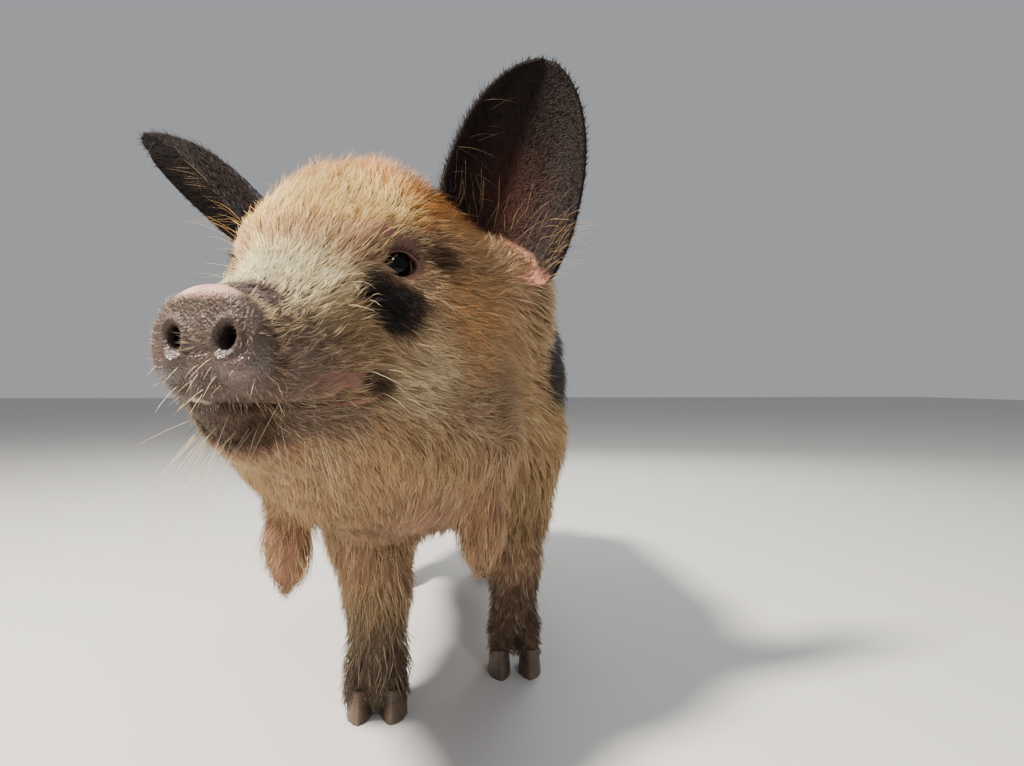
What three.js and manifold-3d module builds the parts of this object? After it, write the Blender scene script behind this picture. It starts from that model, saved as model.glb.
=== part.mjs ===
// A kunekune piglet of about ten weeks, standing with its head raised and turned a little to its right.
// Millimetres, +Z up, floor at z = 0. The snout points to -Y and the pig's left side is at +X.
import * as THREE from "three";
import { mergeVertices } from "three/addons/utils/BufferGeometryUtils.js";
import Module from "manifold-3d";

const wasm = await Module();
wasm.setup();
const { Manifold, Mesh } = wasm;

const at = (x, y, z) => new THREE.Vector3(x, y, z);
const { sin, cos, min, max, abs, sqrt, hypot, PI } = Math;
const { lerp, clamp, smoothstep, degToRad } = THREE.MathUtils;

// Driving dimensions of the trunk
const WITHERS = 262; // height of the back over the forelegs
const BRISKET = 92; // height of the underside of the chest
const CHEST_WIDTH = 146;
const BELLY_WIDTH = 158;
const CHEST_FRONT = -124; // y of the front of the chest
const RUMP_BACK = 238; // y of the back of the hams

// Driving dimensions of the head, in its own frame: x to its left, y backwards, z up, from between the eyes
const HEAD_AT = at(-48.2, -177.3, 234.9);
const HEAD_TURN = degToRad(-17); // to the pig's right
const HEAD_LIFT = degToRad(2); // snout down
const SNOUT_REACH = 98; // from between the eyes to the front of the snout disc
const SNOUT_DROP = 38;
const DISC_HALF = at(22.5, 8, 20.5);
const EYE_AT = at(31.3, -2.9, -2.4); // centre of the left eyeball
const EYE_RADIUS = 10.5;
const EYE_GAZE = at(0.64, -0.77, 0.02).normalize();
const LID_THICKNESS = 2.1;
const LID_OPENING = { halfWide: 7.4, halfHigh: 5 };
const EAR_HALF_WIDTH = 38;
const EAR_ROOT_HALF_WIDTH = 31;
const EAR_SLANT = 12; // how much lower an ear's outer edge is rooted than its inner one
const EAR_THICKNESS = 3.2;
const LIP_RADIUS = 2.8;
const WATTLE_LENGTH = 46;
const WATTLE_RADIUS = 11.5;

// Hair locks: how long and wide each blade is, its thickness, and how far its tip stands off the flesh
const CROWN_LOCK = { length: 24, width: 9, thick: 3, lift: 8 };
const CHEEK_LOCK = { length: 24, width: 12, thick: 2.6, lift: 5 };
const NAPE_LOCK = { length: 30, width: 12, thick: 3, lift: 7 };

// Driving dimensions of the legs: where each foot stands, and its leg's sizes
const FEET = {
  front_right: { side: -1, x: -32, y: -112, hind: false },
  front_left: { side: 1, x: 47, y: -56, hind: false },
  hind_right: { side: -1, x: -44, y: 150, hind: true },
  hind_left: { side: 1, x: 44, y: 190, hind: true },
};
const CLAW = { length: 29, halfWidth: 7.2, height: 17, apart: 8.6 };
const FETLOCK_Z = 30;

// How finely each stretch of flesh is skinned, and the boxes that hold it
const CELLS = { head: 9.4, snout: 6.2, neck: 16, trunk: 20, leg: 12, foot: 7.2 };
const BOXES = {
  head: [at(-150, -300, 70), at(70, -50, 330)],
  snout: [at(-125, -300, 150), at(-10, -205, 260)],
  neck: [at(-150, -240, 50), at(125, 30, 320)],
  trunk: [at(-125, -170, 50), at(125, 290, 310)],
};
const LEG_BOX = { halfWide: 52, ahead: 70, behind: 90, low: -8, high: 190 };
const FOOT_BOX = { halfWide: 30, ahead: 36, behind: 42, low: -6, high: FETLOCK_Z + 22 };

// The slanting blocks that part the legs from the trunk, and how far over the fetlock a foot is cut
const LEG_BLOCK = { wide: 130, frontDeep: 90, hindDeep: 170, high: 200, frontLean: 28, hindLean: 36 };
const FOOT_CUT = FETLOCK_Z + 8;
const JAW_FLOOR = -150;
const JAW_BLOCK_WIDTH = 200;
const DEWCLAW_APART = 7.5;

const GAP = 0.36; // kept between touching pieces
const EAR_ROOM = 0.55; // the same round the ears, whose slanting rings need a little more
const FRAME_SHIFT = at(39.85, 6.65, 0); // brings the middle of the whole animal over the origin

const headTurn = new THREE.Quaternion().setFromEuler(new THREE.Euler(HEAD_LIFT, 0, HEAD_TURN, "ZXY"));
const headUnturn = headTurn.clone().invert();
const onHead = (x, y, z) => at(x, y, z).applyQuaternion(headTurn).add(HEAD_AT);

// Flesh is a smooth union of soft masses. Each gives the distance from a point to its surface.

// An egg-shaped mass with three half sizes, turned about the x axis.
function egg(centre, half, turn = 0) {
  const c = cos(turn);
  const s = sin(turn);
  return (x, y, z) => {
    const dx = x - centre.x;
    const ty = y - centre.y;
    const tz = z - centre.z;
    const dy = c * ty + s * tz;
    const dz = c * tz - s * ty;
    const near = hypot(dx / half.x, dy / half.y, dz / half.z);
    const slope = hypot(dx / half.x ** 2, dy / half.y ** 2, dz / half.z ** 2);
    return slope < 1e-6 ? -min(half.x, half.y, half.z) : (near * (near - 1)) / slope;
  };
}

// A stretch of limb or muzzle that tapers from one radius to another.
function taper(a, b, ra, rb) {
  const along = b.clone().sub(a);
  const long = along.lengthSq();
  return (x, y, z) => {
    const t = clamp(((x - a.x) * along.x + (y - a.y) * along.y + (z - a.z) * along.z) / long, 0, 1);
    return hypot(x - a.x - along.x * t, y - a.y - along.y * t, z - a.z - along.z * t) - lerp(ra, rb, t);
  };
}

const both = (x, make) => [make(x), make(-x)];

function softUnion(forms) {
  return (x, y, z) => {
    let d = 1e3;
    for (const [form, soft] of forms) {
      const e = form(x, y, z);
      const h = max(soft - abs(d - e), 0) / soft;
      d = min(d, e) - (h * h * soft) / 4;
    }
    return d;
  };
}

const TRUNK_Z = (WITHERS + BRISKET) / 2;
const TRUNK_DEPTH = WITHERS - BRISKET;
const NECK_ROOT = at(-4, -40, TRUNK_Z + 14);
const NECK_END = onHead(4, 52, -22);

// The muscle that carries each ear, fuller on the left, which the turn of the head brings forward
const EAR_BASES = [
  { centre: at(31, -122, 222), half: at(33, 30, 33) },
  { centre: onHead(-43, 40, 4), half: at(20, 30, 28) },
];
const trunkForms = [
  [egg(at(0, -8, TRUNK_Z + 3), at(CHEST_WIDTH / 2, 118, TRUNK_DEPTH / 2 - 2)), 20],
  [egg(at(0, 78, TRUNK_Z - 3), at(BELLY_WIDTH / 2, 126, TRUNK_DEPTH / 2 + 1)), 30],
  [egg(at(0, RUMP_BACK - 82, TRUNK_Z + 6), at(66, 82, 74)), 24],
  ...both(1, (s) => [egg(at(s * 40, -70, TRUNK_Z - 8), at(29, 46, 62), 0.25), 18]),
  ...both(1, (s) => [egg(at(s * 38, RUMP_BACK - 62, TRUNK_Z - 14), at(38, 58, 66), 0.2), 20]),
  [egg(at(0, CHEST_FRONT + 36, BRISKET + 52), at(50, 40, 50)), 22],
  [taper(NECK_ROOT, NECK_END, 74, 61), 30],
  [egg(onHead(20, 46, -86), at(58, 46, 42)), 26],
  ...EAR_BASES.map(({ centre, half }) => [egg(centre, half), 20]),
];

const headForms = [
  [egg(at(0, 36, 4), at(50, 46, 45)), 10],
  [egg(at(0, 4, 6), at(36, 36, 30)), 18],
  ...both(1, (s) => [egg(at(s * 28, -1, 9), at(12, 20, 9)), 9]),
  [taper(at(0, -10, -27), at(0, -76, -39), 34, 22.5), 22],
  ...both(1, (s) => [egg(at(s * 38, 22, -34), at(27, 40, 38)), 20]),
  ...both(1, (s) => [taper(at(s * 15, -74, -50), at(s * 25, -34, -50), 11, 14), 10]),
  [taper(at(0, -76, -64), at(0, -14, -74), 12.5, 24), 12],
  ...both(1, (s) => [taper(at(s * 8, -60, -66), at(s * 30, 10, -72), 12, 30), 16]),
  [egg(at(0, 26, -88), at(48, 42, 38)), 22],
  [egg(at(0, -SNOUT_REACH + DISC_HALF.y - 1, -SNOUT_DROP), DISC_HALF), 7],
];

// A leg runs from the shoulder or ham down to the fetlock, in soft stretches.
function legForms({ side, x, y, hind }) {
  const root = hind
    ? [at(side * 42, y - 12, 138), at(side * 46, y + 10, 98)]
    : [at(side * 42, lerp(y, -78, 0.6), 140), at(lerp(x, side * 44, 0.4), y + 4, 100)];
  const joint = hind ? at(x, y + 20, 72) : at(x, y + 1, 66);
  const fetlock = at(x, y + (hind ? 8 : 3), FETLOCK_Z);
  const [thick, elbow, wrist, shank] = hind ? [38, 25, 17, 13.5] : [33, 22, 16.5, 14];
  return [
    [taper(root[0], root[1], thick, elbow), 22],
    [taper(root[1], joint, elbow, wrist), 10],
    [taper(joint, fetlock, wrist, shank), 8],
    [egg(fetlock.clone().add(at(0, 2, -3)), at(14.5, 13.5, 11)), 8],
    ...both(CLAW.apart, (out) => [
      taper(at(x + out * 0.9, y - 1, 24), at(x + out, y - 5, 11), 9.5, 8.4),
      5,
    ]),
    ...both(DEWCLAW_APART, (out) => [
      taper(at(x + out, y + 11, 27), at(x + out * 1.25, y + 17, 20), 6, 4.6),
      4,
    ]),
  ];
}

const legFields = Object.values(FEET).map((foot) => softUnion(legForms(foot)));
const trunkField = softUnion(trunkForms);
const headField = softUnion(headForms);
const local = at(0, 0, 0);

function flesh(x, y, z) {
  const parts = [trunkField(x, y, z)];
  local.set(x, y, z).sub(HEAD_AT).applyQuaternion(headUnturn);
  parts.push(headField(local.x, local.y, local.z));
  for (const leg of legFields) parts.push(leg(x, y, z));
  const SOFT = 18;
  let d = 1e3;
  for (const e of parts) {
    const h = max(SOFT - abs(d - e), 0) / SOFT;
    d = min(d, e) - (h * h * SOFT) / 4;
  }
  return d;
}

function normalAt(field, p) {
  const e = 0.4;
  return at(
    field(p.x + e, p.y, p.z) - field(p.x - e, p.y, p.z),
    field(p.x, p.y + e, p.z) - field(p.x, p.y - e, p.z),
    field(p.x, p.y, p.z + e) - field(p.x, p.y, p.z - e),
  ).divideScalar(2 * e);
}

// Draws a point on to the surface of a field, at a height over it.
function drawOn(field, p, height = 0, steps = 3) {
  for (let i = 0; i < steps; i++) {
    const n = normalAt(field, p);
    p.addScaledVector(n, (height - field(p.x, p.y, p.z)) / max(n.lengthSq(), 0.05));
  }
  return p;
}

// Where two folds of flesh touch only across the corners of a square, fills the shallower corner between them.
function fillPinches(value, n, index) {
  const squares = [
    [[0, 0, 0], [1, 0, 0], [1, 1, 0], [0, 1, 0]],
    [[0, 0, 0], [1, 0, 0], [1, 0, 1], [0, 0, 1]],
    [[0, 0, 0], [0, 1, 0], [0, 1, 1], [0, 0, 1]],
  ];
  for (let filled = true; filled; ) {
    filled = false;
    for (let i = 0; i < n[0] - 1; i++)
      for (let j = 0; j < n[1] - 1; j++)
        for (let k = 0; k < n[2] - 1; k++)
          for (const square of squares) {
            const at4 = square.map(([a, b, c]) => index(i + a, j + b, k + c));
            const inside = at4.map((a) => value[a] < 0);
            if (inside[0] !== inside[2] || inside[1] !== inside[3] || inside[0] === inside[1]) continue;
            const [p, q] = inside[0] ? [at4[1], at4[3]] : [at4[0], at4[2]];
            value[value[p] < value[q] ? p : q] = -0.05;
            filled = true;
          }
  }
}

// Skins a field inside a box: one vertex in each cell that the surface crosses, and a face over each edge.
function skin(field, low, high, cell) {
  const n = ["x", "y", "z"].map((k) => Math.ceil((high[k] - low[k]) / cell) + 1);
  const index = (i, j, k) => (i * n[1] + j) * n[2] + k;
  const closed = (x, y, z) =>
    max(field(x, y, z), max(low.x - x, x - high.x, low.y - y, y - high.y, low.z - z, z - high.z) + cell * 1.5);
  const value = new Float32Array(n[0] * n[1] * n[2]);
  for (let i = 0; i < n[0]; i++)
    for (let j = 0; j < n[1]; j++)
      for (let k = 0; k < n[2]; k++)
        value[index(i, j, k)] = closed(low.x + i * cell, low.y + j * cell, low.z + k * cell);

  fillPinches(value, n, index);

  const corners = [0, 1, 2, 3, 4, 5, 6, 7].map((c) => [c & 1, (c >> 1) & 1, (c >> 2) & 1]);
  const points = [];
  const pointOf = new Map();
  for (let i = 0; i < n[0] - 1; i++)
    for (let j = 0; j < n[1] - 1; j++)
      for (let k = 0; k < n[2] - 1; k++) {
        const v = corners.map(([a, b, c]) => value[index(i + a, j + b, k + c)]);
        if (v.every((d) => d >= 0) || v.every((d) => d < 0)) continue;
        const mean = at(0, 0, 0);
        let crossings = 0;
        corners.forEach((p, a) =>
          corners.forEach((q, b) => {
            const oneApart = a < b && abs(p[0] - q[0]) + abs(p[1] - q[1]) + abs(p[2] - q[2]) === 1;
            if (!oneApart || v[a] < 0 === v[b] < 0) return;
            const t = v[a] / (v[a] - v[b]);
            mean.add(at(lerp(p[0], q[0], t), lerp(p[1], q[1], t), lerp(p[2], q[2], t)));
            crossings++;
          }),
        );
        mean.divideScalar(crossings).add(at(i, j, k)).multiplyScalar(cell).add(low);
        pointOf.set(index(i, j, k), points.push(mean) - 1);
      }

  const quads = [];
  const steps = [at(1, 0, 0), at(0, 1, 0), at(0, 0, 1)];
  for (let i = 1; i < n[0] - 1; i++)
    for (let j = 1; j < n[1] - 1; j++)
      for (let k = 1; k < n[2] - 1; k++)
        steps.forEach((s, axis) => {
          const here = value[index(i, j, k)] < 0;
          if (here === value[index(i + s.x, j + s.y, k + s.z)] < 0) return;
          const u = steps[(axis + 1) % 3];
          const w = steps[(axis + 2) % 3];
          const cells = [
            index(i, j, k),
            index(i - u.x, j - u.y, k - u.z),
            index(i - u.x - w.x, j - u.y - w.y, k - u.z - w.z),
            index(i - w.x, j - w.y, k - w.z),
          ].map((c) => pointOf.get(c));
          quads.push(here ? cells : cells.reverse());
        });

  // Two rounds of evening out, each drawn back on to the surface.
  for (let round = 0; round < 2; round++) {
    const sums = points.map(() => at(0, 0, 0));
    const counts = points.map(() => 0);
    for (const q of quads)
      q.forEach((a, i) => {
        sums[a].add(points[q[(i + 1) % 4]]).add(points[q[(i + 3) % 4]]);
        counts[a] += 2;
      });
    points.forEach((p, i) => p.lerp(sums[i].divideScalar(counts[i]), 0.5));
    points.forEach((p) => drawOn(closed, p, 0, 2));
  }

  const indices = quads.flatMap(([a, b, c, d]) =>
    points[a].distanceTo(points[c]) < points[b].distanceTo(points[d])
      ? [a, b, c, a, c, d]
      : [a, b, d, b, c, d],
  );
  const geometry = new THREE.BufferGeometry();
  geometry.setAttribute("position", new THREE.Float32BufferAttribute(points.flatMap((p) => p.toArray()), 3));
  geometry.setIndex(indices);
  return geometry;
}

// Joins rings of points, each with as many points as the next, into one closed body. It may end in a point.
function loft(rings) {
  const sides = rings[0].length;
  const points = rings.flat();
  const faces = [];
  const pointed = rings.at(-1).length === 1;
  const last = rings.length - (pointed ? 2 : 1);
  for (let r = 0; r < last; r++)
    for (let i = 0; i < sides; i++) {
      const a = r * sides + i;
      const b = r * sides + ((i + 1) % sides);
      faces.push(a, b, a + sides, b, b + sides, a + sides);
    }
  for (let low = 0, high = sides - 1; low + 1 < high; low++, high--) {
    const corners = [[low, high, low + 1]];
    if (low + 2 < high) corners.push([low + 1, high, high - 1]);
    for (const [a, b, c] of corners) {
      faces.push(a, b, c);
      if (!pointed) faces.push(last * sides + a, last * sides + c, last * sides + b);
    }
  }
  if (pointed)
    for (let i = 0; i < sides; i++) {
      faces.push(last * sides + i, last * sides + ((i + 1) % sides), (last + 1) * sides);
    }
  const geometry = new THREE.BufferGeometry();
  geometry.setAttribute("position", new THREE.Float32BufferAttribute(points.flatMap((p) => p.toArray()), 3));
  geometry.setIndex(faces);
  return geometry;
}

// A closed geometry as a solid, whichever way its faces point.
function solid(geometry, weld = 1e-4) {
  const bare = geometry.clone();
  for (const name of Object.keys(bare.attributes)) if (name !== "position") bare.deleteAttribute(name);
  const merged = weld ? mergeVertices(bare, weld) : bare;
  const vertProperties = new Float32Array(merged.attributes.position.array);
  const triVerts = new Uint32Array(merged.index.array);
  const made = new Manifold(new Mesh({ numProp: 3, vertProperties, triVerts }));
  if (made.volume() > 0) return made;
  for (let i = 0; i < triVerts.length; i += 3) [triVerts[i], triVerts[i + 1]] = [triVerts[i + 1], triVerts[i]];
  return new Manifold(new Mesh({ numProp: 3, vertProperties, triVerts }));
}

// Draws together corners that cuts have left closer than a reach, and drops the faces that this folds shut.
function drawnTogether(geometry, reach) {
  const points = geometry.attributes.position;
  const cornerAt = (_, i) => new THREE.Vector3().fromBufferAttribute(points, i);
  const corners = Array.from({ length: points.count }, cornerAt);
  const cells = new Map();
  const stands = corners.map((p, i) => {
    const home = p.toArray().map((c) => Math.floor(c / reach));
    for (let n = 0; n < 27; n++) {
      const step = [(n % 3) - 1, (Math.floor(n / 3) % 3) - 1, Math.floor(n / 9) - 1];
      const near = step.map((by, k) => home[k] + by);
      const found = (cells.get(near.join()) ?? []).find((j) => corners[j].distanceTo(p) < reach);
      if (found !== undefined) return found;
    }
    const key = home.join();
    if (!cells.has(key)) cells.set(key, []);
    cells.get(key).push(i);
    return i;
  });
  const faces = new Map();
  for (let i = 0; i < geometry.index.count; i += 3) {
    const face = [0, 1, 2].map((k) => stands[geometry.index.getX(i + k)]);
    if (new Set(face).size < 3) continue;
    const key = [...face].sort((a, b) => a - b).join();
    if (faces.has(key)) faces.delete(key);
    else faces.set(key, face);
  }
  const drawn = new THREE.BufferGeometry();
  drawn.setAttribute("position", points.clone());
  drawn.setIndex([...faces.values()].flat());
  return mergeVertices(drawn, 1e-5);
}

// Whether each edge joins just two faces, which two bodies that touch along a line don't have.
function edgesArePaired(geometry) {
  const uses = new Map();
  for (let i = 0; i < geometry.index.count; i += 3)
    for (const [a, b] of [[0, 1], [1, 2], [2, 0]]) {
      const ends = [geometry.index.getX(i + a), geometry.index.getX(i + b)];
      const key = min(...ends) * 1e6 + max(...ends);
      uses.set(key, (uses.get(key) ?? 0) + 1);
    }
  return [...uses.values()].every((count) => count === 2);
}

// The cleanest closed form of a solid: corners drawn together as far as it stays one sound body.
function cleaned(s) {
  for (const reach of [0.12, 0.06, 0.03, 0.01]) {
    try {
      const drawn = drawnTogether(geometryOf(s), reach);
      const tried = solid(drawn, 0);
      const whole = tried.decompose().length === 1 && abs(tried.volume() / s.volume() - 1) < 5e-4;
      const sound = whole && edgesArePaired(drawn);
      if (sound) return tried;
    } catch {
      continue;
    }
  }
  return s;
}

const largest = (s) => s.decompose().sort((a, b) => b.volume() - a.volume())[0];
const together = (solids) => Manifold.union(solids);

function geometryOf(s) {
  const mesh = s.getMesh();
  const positions = new Float32Array(mesh.numVert * 3);
  for (let i = 0; i < mesh.numVert; i++)
    positions.set(mesh.vertProperties.subarray(i * mesh.numProp, i * mesh.numProp + 3), i * 3);
  const geometry = new THREE.BufferGeometry();
  geometry.setAttribute("position", new THREE.BufferAttribute(positions, 3));
  geometry.setIndex(new THREE.BufferAttribute(new Uint32Array(mesh.triVerts), 1));
  return geometry;
}

// Keeps what lies ahead of a plane through a point.
const ahead = (s, point, normal) => {
  const n = normal.clone().normalize();
  return s.trimByPlane(n.toArray(), n.dot(point));
};

// The planes that part the head, neck and trunk. Each faces the snout.
const NAPE_AT = onHead(0, 62, 0);
const NAPE_FACE = at(0, -1, 0.38).applyQuaternion(headTurn).normalize();
const WITHERS_AT = at(-4, -62, TRUNK_Z + 20);
const WITHERS_FACE = at(-0.12, -0.92, 0.34).normalize();
const apart = (point, normal, side) => point.clone().addScaledVector(normal, (side * GAP) / 2);

// A box of head flesh, in the head's own frame, as a solid in the part's frame.
function headBlock(low, high) {
  const size = high.clone().sub(low);
  const box = new THREE.BoxGeometry(size.x, size.y, size.z);
  const middle = low.clone().add(high).multiplyScalar(0.5);
  box.translate(middle.x, middle.y, middle.z).applyQuaternion(headTurn).translate(...HEAD_AT.toArray());
  return solid(box);
}

// The jaw's share of the head: below the line of the mouth, and ahead of a slanting cut up to its corner.
const MOUTH_FRONT = { y: -118, z: -57 };
const MOUTH_CORNER = { y: -30, z: -55 };
function jawBlock(grow) {
  const shape = new THREE.Shape();
  shape.moveTo(MOUTH_FRONT.y, MOUTH_FRONT.z + grow);
  shape.bezierCurveTo(-80, -62 + grow, -56, -63 + grow, MOUTH_CORNER.y + grow, MOUTH_CORNER.z + grow);
  shape.lineTo(-2 + grow, JAW_FLOOR);
  shape.lineTo(MOUTH_FRONT.y, JAW_FLOOR);
  const extrusion = { depth: JAW_BLOCK_WIDTH, bevelEnabled: false, curveSegments: 10 };
  const block = new THREE.ExtrudeGeometry(shape, extrusion);
  block.translate(0, 0, -JAW_BLOCK_WIDTH / 2);
  // The shape's x and y are the head's y and z, and its depth runs across the head.
  block.applyMatrix4(new THREE.Matrix4().makeBasis(at(0, 1, 0), at(0, 0, 1), at(1, 0, 0)));
  block.applyQuaternion(headTurn).translate(...HEAD_AT.toArray());
  return solid(block);
}

const SNOUT_CUT = -66; // y of the cut between the head and the snout
function snoutBlock(grow) {
  return headBlock(at(-80, -150, -120), at(80, SNOUT_CUT + grow, 60));
}

function ball(centre, radius, across = 14, up = 9) {
  const geometry = new THREE.SphereGeometry(radius, across, up);
  return solid(geometry.translate(centre.x, centre.y, centre.z));
}

// The nostrils are short bored slots that open forwards and a little outwards.
function nostril(side) {
  const rings = [];
  for (const [depth, halfWide, halfHigh] of [[-14, 4.6, 5.8], [3, 4.2, 5.4], [11, 2.6, 3.4]]) {
    const ring = [];
    for (let i = 0; i < 10; i++) {
      const a = (i / 10) * 2 * PI;
      ring.push(
        onHead(
          side * (11 + (depth < 0 ? 1.5 : 0)) + halfWide * cos(a),
          -SNOUT_REACH + depth,
          -SNOUT_DROP + 2 + halfHigh * sin(a),
        ),
      );
    }
    rings.push(ring);
  }
  return solid(loft(rings));
}

const headFlesh = solid(skin(flesh, ...BOXES.head, CELLS.head), 0);

const eyeCentre = (side) => onHead(side * EYE_AT.x, EYE_AT.y, EYE_AT.z);
const gaze = (side) => at(side * EYE_GAZE.x, EYE_GAZE.y, EYE_GAZE.z).applyQuaternion(headTurn);

// The lids are a shell over the eyeball, open in an almond that flares outwards.
function lids(side) {
  const centre = eyeCentre(side);
  const out = gaze(side);
  const across = at(0, 0, 1).cross(out).normalize();
  const up = out.clone().cross(across).normalize();
  const rings = [[3, 1], [9, 1.03], [26, 1.7]].map(([reach, flare]) =>
    Array.from({ length: 14 }, (_, i) => {
      const a = (i / 14) * 2 * PI;
      const wide = LID_OPENING.halfWide * flare * cos(a);
      const high = LID_OPENING.halfHigh * flare * sin(a) * (1 - 0.35 * cos(a) ** 2);
      return centre
        .clone()
        .addScaledVector(out, reach)
        .addScaledVector(across, wide)
        .addScaledVector(up, high);
    }),
  );
  return { shell: ball(centre, EYE_RADIUS + LID_THICKNESS), opening: solid(loft(rings)) };
}

// The ears: where each is rooted and ends, which way its cup opens, and how deep the cup is.
const EARS = {
  left: { root: at(32, -137, 252), tip: at(60, -135, 351), opens: at(-0.12, -0.97, 0.05), cup: 17 },
  right: { root: at(-87, -134, 256), tip: at(-160, -98, 309), opens: at(-0.68, -0.32, -0.66), cup: 15 },
};

// Moves each corner of a flat outline outwards, so that its edges move by a given distance.
function grown(outline, grow) {
  const count = outline.length;
  const area = outline.reduce((sum, p, i) => sum + p.cross(outline[(i + 1) % count]), 0);
  const facing = (p, q) => new THREE.Vector2(q.y - p.y, p.x - q.x).normalize().multiplyScalar(Math.sign(area));
  return outline.map((p, i) => {
    const before = facing(outline[(i + count - 1) % count], p);
    const after = facing(p, outline[(i + 1) % count]);
    const reach = grow / max(1 + before.dot(after), 0.25);
    return p.clone().addScaledVector(before.add(after), reach);
  });
}

// An ear is a cupped, rounded leaf of gristle, with a rolled rim, that narrows into its root.
function ear({ root, tip, opens, cup }, side, grow = 0) {
  const axis = tip.clone().sub(root);
  const length = axis.length() + grow;
  axis.normalize();
  const across = opens.clone().cross(axis).normalize();
  const ahead = axis.clone().cross(across).normalize();
  const STATIONS = 10;
  const ACROSS = 7;
  const rings = [];
  for (let i = 0; i <= STATIONS; i++) {
    const s = (i / STATIONS) ** 0.85;
    const rise = lerp(-16 - grow, length, s);
    const leaf = max(1 - max((s - 0.3) / 0.7, 0) ** 2.5, 0.012) ** 0.6;
    const half = lerp(EAR_ROOT_HALF_WIDTH, EAR_HALF_WIDTH, smoothstep(s, -0.05, 0.32)) * leaf;
    const deep = cup * lerp(1.25, 0.5, s) * leaf;
    const thick = (EAR_THICKNESS / 2) * lerp(1.3, 0.75, s);
    const sweep = 7 * sin(s * PI); // the whole leaf bows back in the middle
    const outline = [];
    for (const face of [1, -1])
      for (let j = 0; j <= ACROSS; j++) {
        const t = face * (-1 + (2 * j) / ACROSS);
        const rim = 4 * max(t * side - 0.7, 0) * leaf; // the rim nearest the crown rolls inwards
        const edge = sqrt(max(1 - t ** 4, 0)) * 0.8 + 0.2;
        const y = deep * (t * t - 0.45) - sweep + face * thick * edge + rim * 4;
        outline.push(new THREE.Vector2(half * t - rim * side, y));
      }
    rings.push(
      grown(outline, grow).map((p) => {
        const up = rise + EAR_SLANT * (p.x / half) * side * min(s / 0.14, 1) * (1 - s);
        return root.clone().addScaledVector(axis, up).addScaledVector(across, p.x).addScaledVector(ahead, p.y);
      }),
    );
  }
  return solid(loft(rings));
}

// A wattle hangs from the throat like a soft drop.
function wattle(side, grow = 0) {
  const root = side > 0 ? at(22, -150, 131) : at(-72, -148, 122);
  const rings = [];
  for (let i = 0; i <= 8; i++) {
    const s = i / 8;
    const rounded = sqrt(max(1 - (2 * max(s, 0.5) - 1) ** 2, 0.02));
    const radius = WATTLE_RADIUS * rounded * lerp(0.72, 1, smoothstep(s, 0, 0.5));
    const z = root.z + 9 + grow - (WATTLE_LENGTH + 9 + 2 * grow) * s;
    const ring = [];
    for (let j = 0; j < 12; j++) {
      const a = (j / 12) * 2 * PI;
      const wide = (radius + grow) * cos(a);
      const deep = (radius * 0.85 + grow) * sin(a);
      ring.push(at(root.x + side * 2 * s + wide, root.y + deep, z));
    }
    rings.push(ring);
  }
  return solid(loft(rings));
}

// The tail hangs and kinks to one side.
const TAIL = new THREE.CatmullRomCurve3([
  at(0, RUMP_BACK - 16, 226),
  at(0, RUMP_BACK + 4, 224),
  at(3, RUMP_BACK + 16, 206),
  at(10, RUMP_BACK + 14, 180),
  at(8, RUMP_BACK + 8, 158),
  at(2, RUMP_BACK + 12, 140),
]);
function tail(grow = 0) {
  const rings = [];
  const frames = TAIL.computeFrenetFrames(14, false);
  for (let i = 0; i <= 14; i++) {
    const s = i / 14;
    const p = TAIL.getPointAt(s).addScaledVector(frames.tangents[i], i === 0 ? -grow : i === 14 ? grow : 0);
    const radius = lerp(8.5, 3.2, s ** 0.7) + grow;
    const ring = [];
    for (let j = 0; j < 8; j++) {
      const a = (j / 8) * 2 * PI;
      ring.push(
        p
          .clone()
          .addScaledVector(frames.normals[i], radius * cos(a))
          .addScaledVector(frames.binormals[i], radius * sin(a)),
      );
    }
    rings.push(ring);
  }
  return solid(loft(rings));
}

// The mouth runs from corner to corner round the front of the muzzle, at the height where the lips part.
const mouthCurve = new THREE.CubicBezierCurve(
  new THREE.Vector2(MOUTH_FRONT.y, MOUTH_FRONT.z),
  new THREE.Vector2(-80, -62),
  new THREE.Vector2(-56, -63),
  new THREE.Vector2(MOUTH_CORNER.y, MOUTH_CORNER.z),
);
function mouthHeight(y) {
  let t = 0.5;
  for (let step = 0.25; step > 1e-4; step /= 2) t += mouthCurve.getPoint(t).x < y ? step : -step;
  return mouthCurve.getPoint(t).y;
}
function lip(above) {
  const rings = [];
  const COUNT = 20;
  for (let i = 0; i <= COUNT; i++) {
    const a = lerp(-0.04, 1.04, i / COUNT) * PI;
    const ray = at(cos(a), -sin(a), 0);
    const on = (reach) => {
      const y = MOUTH_CORNER.y - 4 + ray.y * reach;
      return onHead(ray.x * reach, y, mouthHeight(clamp(y, -117, MOUTH_CORNER.y)) + above);
    };
    let near = 5;
    let far = 90;
    while (far - near > 0.05) {
      const mid = (near + far) / 2;
      const p = on(mid);
      if (flesh(p.x, p.y, p.z) < 0) near = mid;
      else far = mid;
    }
    const centre = on(near - 1.1);
    const outward = ray.clone().applyQuaternion(headTurn);
    const corner = 1 - abs(2 * (i / COUNT) - 1) ** 6;
    const radius = lerp(0.9, LIP_RADIUS, corner);
    rings.push(
      Array.from({ length: 6 }, (_, k) => {
        const b = (k / 6) * 2 * PI;
        return centre
          .clone()
          .addScaledVector(outward, radius * cos(b))
          .add(at(0, 0, radius * sin(b)));
      }),
    );
  }
  return solid(loft(rings));
}

// The snout disc's rim is a soft ring round its face.
function discRim() {
  const ring = new THREE.TorusGeometry(DISC_HALF.z - 3.5, 4, 6, 20);
  ring.rotateX(PI / 2);
  ring.scale(DISC_HALF.x / DISC_HALF.z, 0.8, 1);
  ring.translate(0, -SNOUT_REACH + 5.5, -SNOUT_DROP).applyQuaternion(headTurn);
  return solid(ring.translate(...HEAD_AT.toArray()));
}

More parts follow.
